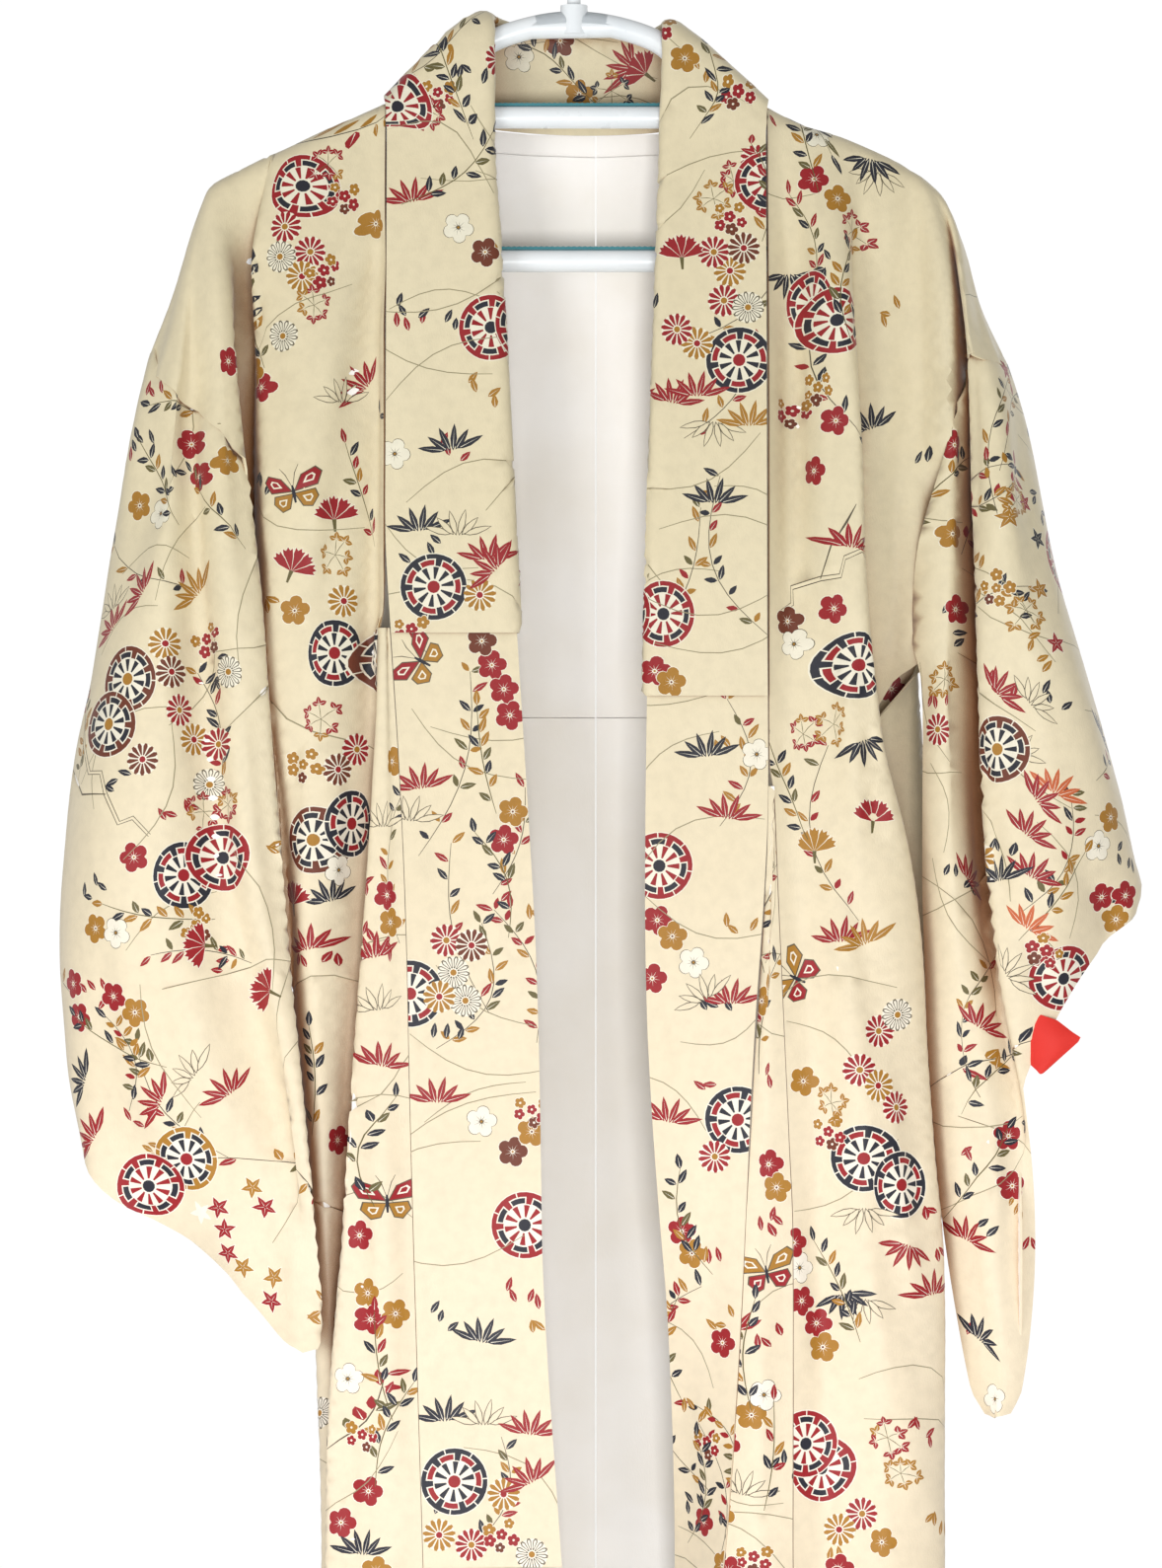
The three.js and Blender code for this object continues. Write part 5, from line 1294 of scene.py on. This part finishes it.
class Panel:
    """A sheet with its outline, its thickness and the side that faces outward."""

    def __init__(self, surface, outline, outward, thickness, tuck=None, worn=1.0, lines_back=False):
        self.surface, self.outline, self.outward = surface, outline, outward
        self.thickness, self.tuck, self.worn, self.lines_back = thickness, tuck, worn, lines_back
        self.u, self.v = lattice(surface, outline)
        self.p = surface.at(self.u, self.v)
        self.n = surface.normal(self.u, self.v) * outward

    def points(self, u, v):
        """Where the cloth's middle lies, and its outward normal, once creases are in."""
        p = self.surface.at(u, v)
        n = self.surface.normal(u, v) * self.outward
        drop = -HOOK_DROP - p[:, 2]
        front = smooth_step((-n[:, 1] - 0.05) / 0.5)
        back = smooth_step((n[:, 1] - 0.05) / 0.5)
        free = smooth_step((drop - 95) / 60)
        behind = crease_shift(p[:, 0], drop, BACK_CREASES)
        shift = crease_shift(p[:, 0], drop, FRONT_ROWS) * front + behind * back
        shift += crease_shift(p[:, 0], drop, LOWER_ROWS) * front
        shift += slow_waves(p) * WAVES
        if self.lines_back:
            shift = -behind - slow_waves(p) * WAVES
        shift *= free * self.worn
        if self.tuck is not None:
            over = np.interp(u, *self.tuck) - v
            shift -= 1.5 * smooth_step((over + 0.6) / 1.2)
        return p + n * shift[:, None], n

    def find(self, x, drop, back=False, inside_out=False):
        """The cloth coordinates that show at a place, seen from the front or the back."""
        facing = self.n[:, 1] > 0.15 if back else self.n[:, 1] < -0.15
        away = (self.p[:, 0] - x) ** 2 + (-HOOK_DROP - self.p[:, 2] - drop) ** 2
        away = away + np.where(facing, 0, 1e6) + self.p[:, 1] * (-1.5 if back else 1.5)
        k = int(np.argmin(away))
        if math.hypot(self.p[k, 0] - x, -HOOK_DROP - self.p[k, 2] - drop) > FARTHEST:
            return None
        away = np.array([x - self.p[k, 0], -HOOK_DROP - drop - self.p[k, 2]])
        u, v = self.u[k], self.v[k]
        base = self.surface.at(np.array([u, u + 1, u]), np.array([v, v, v + 1]))
        right, down = base[1] - base[0], base[2] - base[0]
        matrix = np.array([[right[0], down[0]], [right[2], down[2]]])
        if abs(np.linalg.det(matrix)) > 0.12:
            step = np.linalg.solve(matrix, away)
            u, v = u + np.clip(step[0], -7, 7), v + np.clip(step[1], -7, 7)
        out = np.cross(right, down)
        facing_out = np.array([0, 1.0 if back else -1.0, 0]) * (-1 if inside_out else 1)
        out = out * (1 if np.dot(out, facing_out) > 0 else -1)
        level = np.cross([0, 0, 1.0], out)
        level = level / max(np.linalg.norm(level), 1e-6)
        rise = np.cross(out, level)
        rise = rise / max(np.linalg.norm(rise), 1e-6)
        flatten = np.linalg.pinv(np.column_stack([right, down]), rcond=0.2)
        across, up = flatten @ level, flatten @ rise
        across, up = (d / max(1, np.linalg.norm(d) / 1.8) for d in (across, up))
        return u, v, across, up

    def ring_of(self, motif, colour, spot, turn, seed, scale=1.0):
        u, v, across, up = spot
        shapes = DRAW[motif](colour or "crimson", SIZE[motif] * scale, seed)
        out = []
        for points, paint in shapes:
            placed = [(u + x * across[0] + y * up[0], v + x * across[1] + y * up[1])
                      for x, y in turned(points, turn)]
            area = sum(a[0] * b[1] - b[0] * a[1] for a, b in zip(placed, placed[1:] + placed[:1]))
            out.append((placed if area > 0 else placed[::-1], paint))
        return out


def printed(panel, rows, grain=0.0, seed=0, repeats=(0,), backs=()):
    """The print's shapes on a panel: as in the photo, repeated further down, and on the back."""
    shapes = []
    rng = np.random.default_rng(seed)
    passes = [(False, 0, down) for down in repeats] + [(True, *moved) for moved in backs]
    for back, aside, shift in passes:
        for i, (px, py, motif, colour, turn) in enumerate(rows):
            x, drop = from_photo(px, py)
            x, drop = x + aside, drop + shift
            if (not back and shift and drop < PHOTO_BOTTOM - 8) or drop > HEM:
                continue
            large = motif in ("wheel", "plum", "mum", "bamboo")
            if (back or shift) and i % 3 == 2 and motif != "wheel" or aside and (i % 2 or not large):
                continue
            spot = panel.find(x, drop, back)
            if spot is None:
                continue
            spin = rng.uniform(-12, 12) + (0 if motif == "branch" else grain)
            shapes += panel.ring_of(motif, colour, spot, turn + spin, seed + i)
    return shapes


def scattered(panel, count, seed, grain=0.0):
    """Thin grass arcs, sprays and small leaves between the larger motifs."""
    rng = np.random.default_rng(seed)
    shapes = []
    picks = rng.choice(len(panel.u), size=min(count, len(panel.u)), replace=False)
    for i, k in enumerate(picks):
        spot = panel.find(panel.p[k, 0], -HOOK_DROP - panel.p[k, 2], panel.n[k, 1] > 0)
        if spot is None:
            continue
        motif = ("grass", "spray", "grass", "leaflets", "leaflets")[i % 5]
        scale = rng.uniform(0.6, 1.1)
        paint = ("crimson", "navy", "ochre")[int(rng.integers(3))]
        shapes += panel.ring_of(motif, paint, spot, grain + rng.uniform(-40, 40), seed + i, scale)
    return shapes


def triangulated(outline, u, v, shapes=()):
    """Triangles of flat cloth within an outline, cut along every shape, and the shape on top of each."""
    vertices, edges = [], []
    for ring in [outline] + [points for points, _ in shapes]:
        start, count = len(vertices), len(ring)
        vertices += [Vector(p) for p in ring]
        edges += [(start + i, start + (i + 1) % count) for i in range(count)]
    vertices += [Vector(p) for p in zip(u, v)]
    flat, _, faces, _, _, _ = delaunay_2d_cdt(vertices, edges, [], 0, 0.02, False)
    flat, faces = np.array([p[:] for p in flat]), np.array([f[:] for f in faces])
    centre = flat[faces].mean(axis=1)
    keep = inside(outline, centre[:, 0], centre[:, 1])
    faces, centre = faces[keep], centre[keep]
    order = np.argsort(centre[:, 1])
    faces, centre = faces[order], centre[order]
    on_top = np.zeros(len(faces), int)
    for k, (points, _) in enumerate(shapes, 1):
        us, vs = [p[0] for p in points], [p[1] for p in points]
        first, last = np.searchsorted(centre[:, 1], (min(vs), max(vs)))
        near = first + np.flatnonzero((centre[first:last, 0] > min(us)) & (centre[first:last, 0] < max(us)))
        on_top[near[inside(points, centre[near, 0], centre[near, 1])]] = k
    used, faces = np.unique(faces, return_inverse=True)
    return flat[used], faces.reshape(-1, 3), on_top


def border(faces):
    """Directed edges that only one triangle has."""
    seen = {}
    for a, b, c in faces.tolist():
        for edge in ((a, b), (b, c), (c, a)):
            seen[edge] = True
    return [edge for edge in seen if (edge[1], edge[0]) not in seen]


def walk(edges):
    """The vertices of a closed border in order."""
    after = dict(edges)
    ring = [edges[0][0]]
    while after[ring[-1]] != ring[0]:
        ring.append(after[ring[-1]])
    return ring


def outward_faces(points, normal, faces):
    """The faces wound so that they face along the normals."""
    a, b, c = (points[faces[:, k]] for k in range(3))
    facing = np.einsum("ij,ij->i", np.cross(b - a, c - a), normal[faces[:, 0]]).sum()
    return faces if facing > 0 else faces[:, ::-1]


def added(name, data):
    piece = bpy.data.objects.new(name, data)
    bpy.context.scene.collection.objects.link(piece)
    return piece


def cloth_object(name, panel, shapes, slots, inner_shapes=(), bare_from=None):
    """The panel as a thin shell: printed outside, lining inside, turned edges between.

    Beyond the column bare_from, its inside has no lining and shows the print's reverse.
    """
    half = panel.thickness / 2
    flat, faces, on_top = triangulated(panel.outline, panel.u, panel.v, shapes)
    middle, normal = panel.points(flat[:, 0], flat[:, 1])
    faces = outward_faces(middle, normal, faces)
    edges = border(faces)
    ring = walk(edges)
    same_ring = [tuple(flat[k]) for k in ring]
    inner_flat, inner_faces, inner_top = triangulated(same_ring, panel.u, panel.v, inner_shapes)
    inner_middle, inner_normal = panel.points(inner_flat[:, 0], inner_flat[:, 1])
    inner_faces = outward_faces(inner_middle, inner_normal, inner_faces)[:, ::-1]
    points = np.concatenate([middle + normal * half, inner_middle - inner_normal * half])
    found = {tuple(p): len(flat) + k for k, p in enumerate(inner_flat)}
    below = {k: found[tuple(flat[k])] for k in ring}
    rim = [(b, a, below[a], below[b]) for a, b in edges]
    polygons = faces.tolist() + (inner_faces + len(flat)).tolist() + rim
    mesh = bpy.data.meshes.new(name)
    mesh.from_pydata((points * MM).tolist(), [], polygons)
    mesh.polygons.foreach_set("use_smooth", np.ones(len(polygons), bool))
    slot_of = np.zeros(len(polygons), np.int32)
    inner_slots = np.full(len(inner_faces), len(slots) - 1)
    if bare_from is not None:
        inner_slots[inner_flat[inner_faces].mean(axis=1)[:, 0] > bare_from] = 0
    slot_of[len(faces):len(faces) + len(inner_faces)] = inner_slots
    mesh.polygons.foreach_set("material_index", slot_of)
    for material in slots:
        mesh.materials.append(material)
    paints = np.array([INK["ground"]] + [INK[paint] for _, paint in shapes])
    inner_paints = np.array([INK["ground"]] + [INK[paint] for _, paint in inner_shapes])
    corners = np.ones((3 * len(faces) + 3 * len(inner_faces) + 4 * len(rim), 4), np.float32)
    corners[:, :3] = INK["ground"]
    corners[:3 * len(faces), :3] = np.repeat(paints[on_top], 3, axis=0)
    inner_corners = slice(3 * len(faces), 3 * len(faces) + 3 * len(inner_faces))
    corners[inner_corners, :3] = np.repeat(inner_paints[inner_top], 3, axis=0)
    colour = mesh.color_attributes.new("print", "FLOAT_COLOR", "CORNER")
    colour.data.foreach_set("color", corners.ravel())
    mesh.set_sharp_from_angle(angle=math.radians(72))
    return added(name, mesh)


# Materials
def nodes_of(name, roughness, **sockets):
    material = bpy.data.materials.new(name)
    material.use_nodes = True
    shader = material.node_tree.nodes["Principled BSDF"]
    shader.inputs["Roughness"].default_value = roughness
    for socket, value in sockets.items():
        shader.inputs[socket.replace("_", " ")].default_value = value
    return material, shader


def noise_node(tree, scale, detail=3.0, coordinates=None):
    node = tree.nodes.new("ShaderNodeTexNoise")
    node.inputs["Scale"].default_value = scale
    node.inputs["Detail"].default_value = detail
    if coordinates:
        tree.links.new(coordinates, node.inputs["Vector"])
    return node


def ramp(tree, value, low, high, start=0.3, end=0.7):
    node = tree.nodes.new("ShaderNodeValToRGB")
    node.color_ramp.elements[0].position, node.color_ramp.elements[0].color = start, (*low, 1)
    node.color_ramp.elements[1].position, node.color_ramp.elements[1].color = end, (*high, 1)
    tree.links.new(value, node.inputs["Fac"])
    return node.outputs["Color"]


def multiply(tree, a, b):
    node = tree.nodes.new("ShaderNodeMix")
    node.data_type, node.blend_type = "RGBA", "MULTIPLY"
    node.inputs["Factor"].default_value = 1
    tree.links.new(a, node.inputs[6])
    tree.links.new(b, node.inputs[7])
    return node.outputs[2]


def bump_of(tree, shader, height, strength, distance):
    node = tree.nodes.new("ShaderNodeBump")
    node.inputs["Strength"].default_value = strength
    node.inputs["Distance"].default_value = distance
    tree.links.new(height, node.inputs["Height"])
    tree.links.new(node.outputs["Normal"], shader.inputs["Normal"])


def painted_fold_shade(tree):
    """Painted shade: a darker, warmer colour where nearby cloth closes round, deepest down in the folds."""
    near = tree.nodes.new("ShaderNodeAmbientOcclusion")
    near.samples = 8
    near.inputs["Distance"].default_value = 0.05
    return ramp(tree, near.outputs["AO"], (0.42, 0.2, 0.1), (1, 1, 1), 0.15, 0.66)


def silk_material():
    """Crepe silk: printed colour, slightly uneven ground, painted shade at the top and in the folds, fine
    crinkle and a soft sheen.
    """
    sheen = {"Sheen_Weight": 0.25, "Sheen_Roughness": 0.45}
    material, shader = nodes_of("printed_silk", 0.5, **sheen, Specular_IOR_Level=0.35)
    tree = material.node_tree
    where = tree.nodes.new("ShaderNodeTexCoord").outputs["Object"]
    print_colour = tree.nodes.new("ShaderNodeAttribute")
    print_colour.attribute_name = "print"
    split = tree.nodes.new("ShaderNodeSeparateXYZ")
    tree.links.new(where, split.inputs["Vector"])
    # Painted shade: the cloth is made darker and yellower towards the top, where less light falls, and a
    # little pinker low down
    height = tree.nodes.new("ShaderNodeMapRange")
    height.inputs["From Min"].default_value, height.inputs["From Max"].default_value = -0.95, -0.15
    tree.links.new(split.outputs["Z"], height.inputs["Value"])
    painted_top_shade = ramp(tree, height.outputs["Result"], (1.0, 0.96, 0.94), (0.8, 0.79, 0.71), 0.25, 0.75)
    cloudy = ramp(tree, noise_node(tree, 7, 4, where).outputs["Fac"], (0.975, 0.965, 0.945), (1, 1, 1))
    patches = noise_node(tree, 160, 5, where).outputs["Fac"]
    worn = ramp(tree, patches, (0.93, 0.93, 0.93), (1, 1, 1), 0.25, 0.6)
    colour = multiply(tree, multiply(tree, multiply(tree, print_colour.outputs["Color"], painted_top_shade), cloudy), worn)
    # Painted shade in the folds darkens the colour
    tree.links.new(multiply(tree, colour, painted_fold_shade(tree)), shader.inputs["Base Color"])
    stretched = tree.nodes.new("ShaderNodeMapping")
    stretched.inputs["Scale"].default_value = (1, 1, 0.45)
    tree.links.new(where, stretched.inputs["Vector"])
    bump_of(tree, shader, noise_node(tree, 1100, 3, stretched.outputs["Vector"]).outputs["Fac"], 0.35, 0.0004)
    rough = tree.nodes.new("ShaderNodeMapRange")
    rough.inputs["To Min"].default_value, rough.inputs["To Max"].default_value = 0.42, 0.6
    tree.links.new(noise_node(tree, 60, 4, where).outputs["Fac"], rough.inputs["Value"])
    tree.links.new(rough.outputs["Result"], shader.inputs["Roughness"])
    return material


def lining_material(name, low, high, sheen=0.2):
    """Plain-woven silk lining, a little yellowed in places."""
    material, shader = nodes_of(name, 0.6, Sheen_Weight=sheen, Sheen_Roughness=0.4, Specular_IOR_Level=0.3)
    tree = material.node_tree
    where = tree.nodes.new("ShaderNodeTexCoord").outputs["Object"]
    colour = ramp(tree, noise_node(tree, 14, 5, where).outputs["Fac"], low, high, 0.32, 0.62)
    tree.links.new(colour, shader.inputs["Base Color"])
    weave = tree.nodes.new("ShaderNodeMapping")
    weave.inputs["Scale"].default_value = (1, 1, 0.3)
    tree.links.new(where, weave.inputs["Vector"])
    bump_of(tree, shader, noise_node(tree, 1500, 2, weave.outputs["Vector"]).outputs["Fac"], 0.25, 0.0003)
    return material


def plastic_material(name, low, high, roughness):
    """Moulded plastic with faint handling marks."""
    material, shader = nodes_of(name, roughness, Specular_IOR_Level=0.5)
    tree = material.node_tree
    where = tree.nodes.new("ShaderNodeTexCoord").outputs["Object"]
    colour = ramp(tree, noise_node(tree, 25, 4, where).outputs["Fac"], low, high)
    tree.links.new(colour, shader.inputs["Base Color"])
    rough = tree.nodes.new("ShaderNodeMapRange")
    rough.inputs["To Min"].default_value = roughness * 0.8
    rough.inputs["To Max"].default_value = roughness * 1.3
    tree.links.new(noise_node(tree, 90, 5, where).outputs["Fac"], rough.inputs["Value"])
    tree.links.new(rough.outputs["Result"], shader.inputs["Roughness"])
    bump_of(tree, shader, noise_node(tree, 240, 2, where).outputs["Fac"], 0.06, 0.0003)
    return material


SILK = silk_material()
WHITE_LINING = lining_material("white_lining", srgb(243, 238, 230), srgb(250, 247, 243))
RED_LINING = lining_material("red_lining", srgb(205, 36, 30), srgb(222, 50, 40), 0.4)
PLASTIC = plastic_material("hanger_plastic", srgb(226, 232, 236), srgb(238, 242, 244), 0.28)
GRIP = plastic_material("grip_strip", srgb(58, 128, 140), srgb(80, 150, 160), 0.5)


# The hanger, as tubes along smooth paths
def tube(name, paths, material, radius, sides=20):
    """Round tubes along points, in one mesh. Each path is (points, closed)."""
    points, polygons = [], []
    for line, closed in paths:
        line = np.array(line, float)
        count = len(line)
        ahead = np.roll(line, -1, axis=0) - np.roll(line, 1, axis=0)
        if not closed:
            ahead[0], ahead[-1] = line[1] - line[0], line[-1] - line[-2]
        ahead /= np.linalg.norm(ahead, axis=1)[:, None]
        side = np.array([0.0, 1.0, 0.0])
        start = len(points)
        for p, d in zip(line, ahead):
            up = np.cross(d, side)
            up /= np.linalg.norm(up)
            for k in range(sides):
                a = 2 * math.pi * k / sides
                points.append(p + radius * (math.cos(a) * side + math.sin(a) * up))
        rings = count if closed else count - 1
        for i in range(rings):
            j = (i + 1) % count
            for k in range(sides):
                m = (k + 1) % sides
                corners = (i * sides + k, i * sides + m, j * sides + m, j * sides + k)
                polygons.append([start + c for c in corners])
        if not closed:
            polygons.append([start + k for k in reversed(range(sides))])
            polygons.append([start + rings * sides + k for k in range(sides)])
    mesh = bpy.data.meshes.new(name)
    mesh.from_pydata((np.array(points) * MM).tolist(), [], polygons)
    mesh.polygons.foreach_set("use_smooth", np.ones(len(polygons), bool))
    mesh.materials.append(material)
    mesh.set_sharp_from_angle(angle=math.radians(50))
    return added(name, mesh)


def smooth_line(points, step=3.0, closed=False):
    """A smooth curve through points, resampled at even steps."""
    points = np.array(points, float)
    if closed:
        points = np.concatenate([points[-2:], points, points[:3]])
    out = []
    for i in range(1, len(points) - 2):
        a, b, c, d = points[i - 1:i + 3]
        for t in np.linspace(0, 1, max(2, int(np.linalg.norm(c - b) / step)) + 1)[:-1]:
            bend, twist = 2 * a - 5 * b + 4 * c - d, 3 * b - a - 3 * c + d
            out.append(0.5 * (2 * b + (c - a) * t + bend * t ** 2 + twist * t ** 3))
    return np.array(out)


# The arch's upper edge as x and drop, the round ends' centre and radius, the bars' drops
ARCH = [(0, 0), (25, 3), (50, 12), (65, 26), (80, 40.5)]
ARCH += [(95, 53.5), (105, 59.5), (121, 65), (143, 73), (165, 81.5)]
END_X, END_DROP, END_R = 174.8, 116.2, 21.0
BAR_DROP, UPPER_DROP, UPPER_HALF = 137.2, 58.3, 91.0
HOOK_BOW = 23.75  # radius of the hook's bow


def hanger_frame():
    line = np.array(ARCH, float)
    ahead = np.gradient(line, axis=0)
    ahead /= np.linalg.norm(ahead, axis=1)[:, None]
    half = [(x - d[1] * TUBE / 2, drop + d[0] * TUBE / 2) for (x, drop), d in zip(line, ahead)]
    ends = [(END_X + END_R * math.cos(math.radians(a)), END_DROP + END_R * math.sin(math.radians(a)))
            for a in (-65, -30, 0, 30, 60, 90)]
    ring = half + ends + [(120, BAR_DROP), (60, BAR_DROP), (0, BAR_DROP)]
    loop = ring + [(-x, drop) for x, drop in ring[-2:0:-1]]
    loop = smooth_line([(x, 0, -HOOK_DROP - drop) for x, drop in loop], closed=True)
    bar = [(x, 0, -HOOK_DROP - UPPER_DROP) for x in np.linspace(-UPPER_HALF, UPPER_HALF, 60)]
    boss = [(0, 0, -HOOK_DROP - drop) for drop in (13, 10, 6, 2, -1.5, -3)]
    piece = tube("hanger_frame_shape", [(loop, True), (bar, False)], PLASTIC, TUBE / 2)
    collar = tube("boss", [(boss, False)], PLASTIC, 7.5)
    return join(piece, collar)


def join(first, *others):
    """One object of several meshes."""
    with bpy.context.temp_override(active_object=first, selected_editable_objects=[first, *others]):
        bpy.ops.object.join()
    return first


def hanger_hook():
    bow = [(HOOK_BOW * math.cos(math.radians(a)), 0, -20 + HOOK_BOW * math.sin(math.radians(a)))
           for a in (205, 180, 150, 120, 90, 60, 30, 0, -30)]
    stem = [(8, 0, -44), (0.8, 0, -54), (0, 0, -66), (0, 0, -77.5)]
    line = smooth_line([bow[0]] + bow + stem + [stem[-1]], 2.0)
    return tube("hanger_hook_shape", [(line, False)], PLASTIC, HOOK_WIRE / 2)


def grip(name, drop, half):
    """A thin soft strip on top of a bar, with low ribs."""
    top = -HOOK_DROP - drop + TUBE / 2 + 0.3
    points, polygons = [], []
    steps = int(half / 1.5)
    for i in range(2 * steps + 1):
        x = -half + i * half / steps
        rise = 1.2 if i % 2 else 1.5
        points += [(x, -3.5, top - 0.55), (x, -2.6, top + rise - 0.35), (x, 0, top + rise)]
        points += [(x, 2.6, top + rise - 0.35), (x, 3.5, top - 0.55)]
    for i in range(2 * steps):
        for k in range(4):
            a = 5 * i + k
            polygons.append([a, a + 1, a + 6, a + 5])
        polygons.append([5 * i + 4, 5 * i, 5 * i + 5, 5 * i + 9])
    polygons += [[4, 3, 2, 1, 0], [5 * 2 * steps + k for k in range(5)]]
    mesh = bpy.data.meshes.new(name)
    mesh.from_pydata((np.array(points) * MM).tolist(), [], polygons)
    mesh.materials.append(GRIP)
    return added(name, mesh)


# The garment
def cloth_piece(node, panel, shapes, slots, inner_shapes=(), bare_from=None):
    piece = cloth_object(node + "_cloth", panel, shapes, slots, inner_shapes, bare_from)
    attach(piece, "root")
    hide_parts(node)


def build():
    for side, neck, body, sleeve, sign in (
        ("right", NECK_RIGHT, BODY_RIGHT, SLEEVE_RIGHT, 1), ("left", NECK_LEFT, BODY_LEFT, SLEEVE_LEFT, -1),
    ):
        surface, outline = body_sheet(neck, body, sleeve)
        panel = Panel(surface, outline, -sign, CLOTH)
        rows = PRINT["body_" + side]
        back_places = [(0, 0), (0, REPEAT), (0, 2 * REPEAT)]
        back_places += [(sign * 88, -190), (sign * 88, REPEAT - 190), (sign * 88, 2 * REPEAT - 190)]
        shapes = scattered(panel, 85, 7 + sign)
        shapes += printed(panel, rows, 0, 11 + sign, (0, REPEAT, 2 * REPEAT), back_places)
        inner = []
        for i, (px, py, motif, colour, turn) in enumerate(SHADED_INSIDE if side == "left" else []):
            spot = panel.find(*from_photo(px, py), True, True)
            if spot:
                inner += panel.ring_of(motif, colour, spot, turn, i)
        cloth_piece(
            "body_" + side, panel, shapes, [SILK, WHITE_LINING],
            inner, surface.u[len(neck) + 2],
        )
        surface, outline, seam = sleeve_sheet(sleeve)
        panel = Panel(surface, outline, sign, CLOTH, tuck=seam)
        name = "sleeve_" + side
        shapes = scattered(panel, 75, 21 + sign, GRAIN[name])
        shapes += printed(panel, PRINT[name], GRAIN[name], 31 + sign, (0,), [(0, 0)])
        cloth_piece(
            name, panel, shapes, [SILK, WHITE_LINING],
        )
        for part, top, bottom in (("upper", 75, 388), ("lower", 388.5, 1644)):
            surface, outline = lining_sheet(neck, body, top, bottom)
            panel = Panel(surface, outline, sign, LINING, lines_back=True)
            cloth_piece(
                f"lining_{part}_{side}", panel, [], [WHITE_LINING, WHITE_LINING],
            )
    for side, overlap, collar, body, sign in (
        ("right", OVERLAP_RIGHT, COLLAR_RIGHT, BODY_RIGHT, 1),
        ("left", OVERLAP_LEFT, COLLAR_LEFT, BODY_LEFT, -1),
    ):
        surface, outline = overlap_sheet(overlap, collar, body, sign)
        panel = Panel(surface, outline, sign, CLOTH)
        rows = PRINT["overlap_" + side]
        shapes = scattered(panel, 50, 41 + sign) + printed(panel, rows, 0, 51 + sign, (0, REPEAT, 2 * REPEAT))
        cloth_piece(
            "overlap_" + side, panel, shapes, [SILK, WHITE_LINING],
        )
    surface, outline = collar_sheet()
    panel = Panel(surface, outline, -1, COLLAR_CORE, worn=0.5)
    shapes = scattered(panel, 75, 61) + printed(panel, PRINT["collar"], 0, 62)
    cloth_piece("collar", panel, shapes, [SILK, SILK])
    surface, outline = over_collar_sheet()
    panel = Panel(surface, outline, 1, OVER_COLLAR, worn=0.35)
    shapes = scattered(panel, 60, 71) + printed(panel, PRINT["over_collar"], 0, 72, (0,), [(0, 0)])
    cloth_piece("over_collar", panel, shapes, [SILK, SILK])
    surface, outline = flap_sheet()
    panel = Panel(surface, outline, 1, LINING, worn=0.0)
    cloth_piece("cuff_lining_left", panel, [], [RED_LINING, RED_LINING])


# Floor, light and camera
def area_light(name, at, towards, size, power):
    data = bpy.data.lights.new(name, "AREA")
    data.shape, data.size, data.size_y = "RECTANGLE", size[0], size[1]
    data.energy = power
    lamp = added(name, data)
    lamp.location = at
    lamp.rotation_euler = (Vector(towards) - Vector(at)).to_track_quat("-Z", "Y").to_euler()


def stage():
    mesh = bpy.data.meshes.new("floor")
    corners = [(x, y, FLOOR_Z) for x, y in ((-6, -6), (6, -6), (6, 6), (-6, 6))]
    mesh.from_pydata(corners, [], [(0, 1, 2, 3)])
    floor = added("floor", mesh)
    material, shader = nodes_of("floor", 0.8)
    shader.inputs["Base Color"].default_value = (0.8, 0.8, 0.79, 1)
    mesh.materials.append(material)
    world = bpy.data.worlds.new("studio")
    world.use_nodes = True
    tree = world.node_tree
    tree.nodes["Background"].inputs["Color"].default_value = (1.0, 0.99, 0.975, 1)
    tree.nodes["Background"].inputs["Strength"].default_value = 0.5
    white = tree.nodes.new("ShaderNodeBackground")
    white.inputs["Color"].default_value = (1, 1, 1, 1)
    white.inputs["Strength"].default_value = 1.02
    both = tree.nodes.new("ShaderNodeMixShader")
    tree.links.new(tree.nodes.new("ShaderNodeLightPath").outputs["Is Camera Ray"], both.inputs["Fac"])
    tree.links.new(tree.nodes["Background"].outputs[0], both.inputs[1])
    tree.links.new(white.outputs[0], both.inputs[2])
    tree.links.new(both.outputs[0], tree.nodes["World Output"].inputs["Surface"])
    bpy.context.scene.world = world
    bpy.context.scene.view_settings.view_transform = "Standard"


def camera():
    data = bpy.data.cameras.new("camera")
    data.sensor_width, data.lens = 36, 36 * VIEW_DISTANCE / VIEW_HEIGHT
    eye = added("camera", data)
    eye.location = (VIEW_X, -VIEW_DISTANCE, VIEW_Z)
    eye.rotation_euler = (math.pi / 2, 0, 0)
    bpy.context.scene.camera = eye


def hanger():
    pieces = [
        (hanger_frame(), "hanger_frame", "hanger_plastic"),
        (hanger_hook(), "hanger_hook", "hanger_plastic"),
        (grip("grip_upper_shape", UPPER_DROP, 80), "grip_strip_upper", "grip_strip"),
        (grip("grip_lower_shape", BAR_DROP, 150), "grip_strip_lower", "grip_strip"),
    ]
    for piece, node, slot in pieces:
        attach(piece, "root")
        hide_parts(node)


hanger()
build()
stage()
camera()
area_light("key", (-1.3, -1.6, -0.65), (0.1, 0, -0.7), (0.8, 1.0), 13)
area_light("front_fill", (0.25, -2.5, -1.0), (0, 0, -0.85), (0.7, 0.9), 31)
area_light("back_fill", (1.5, 2.5, 0.4), (0, 0, -0.7), (2.0, 2.0), 12)
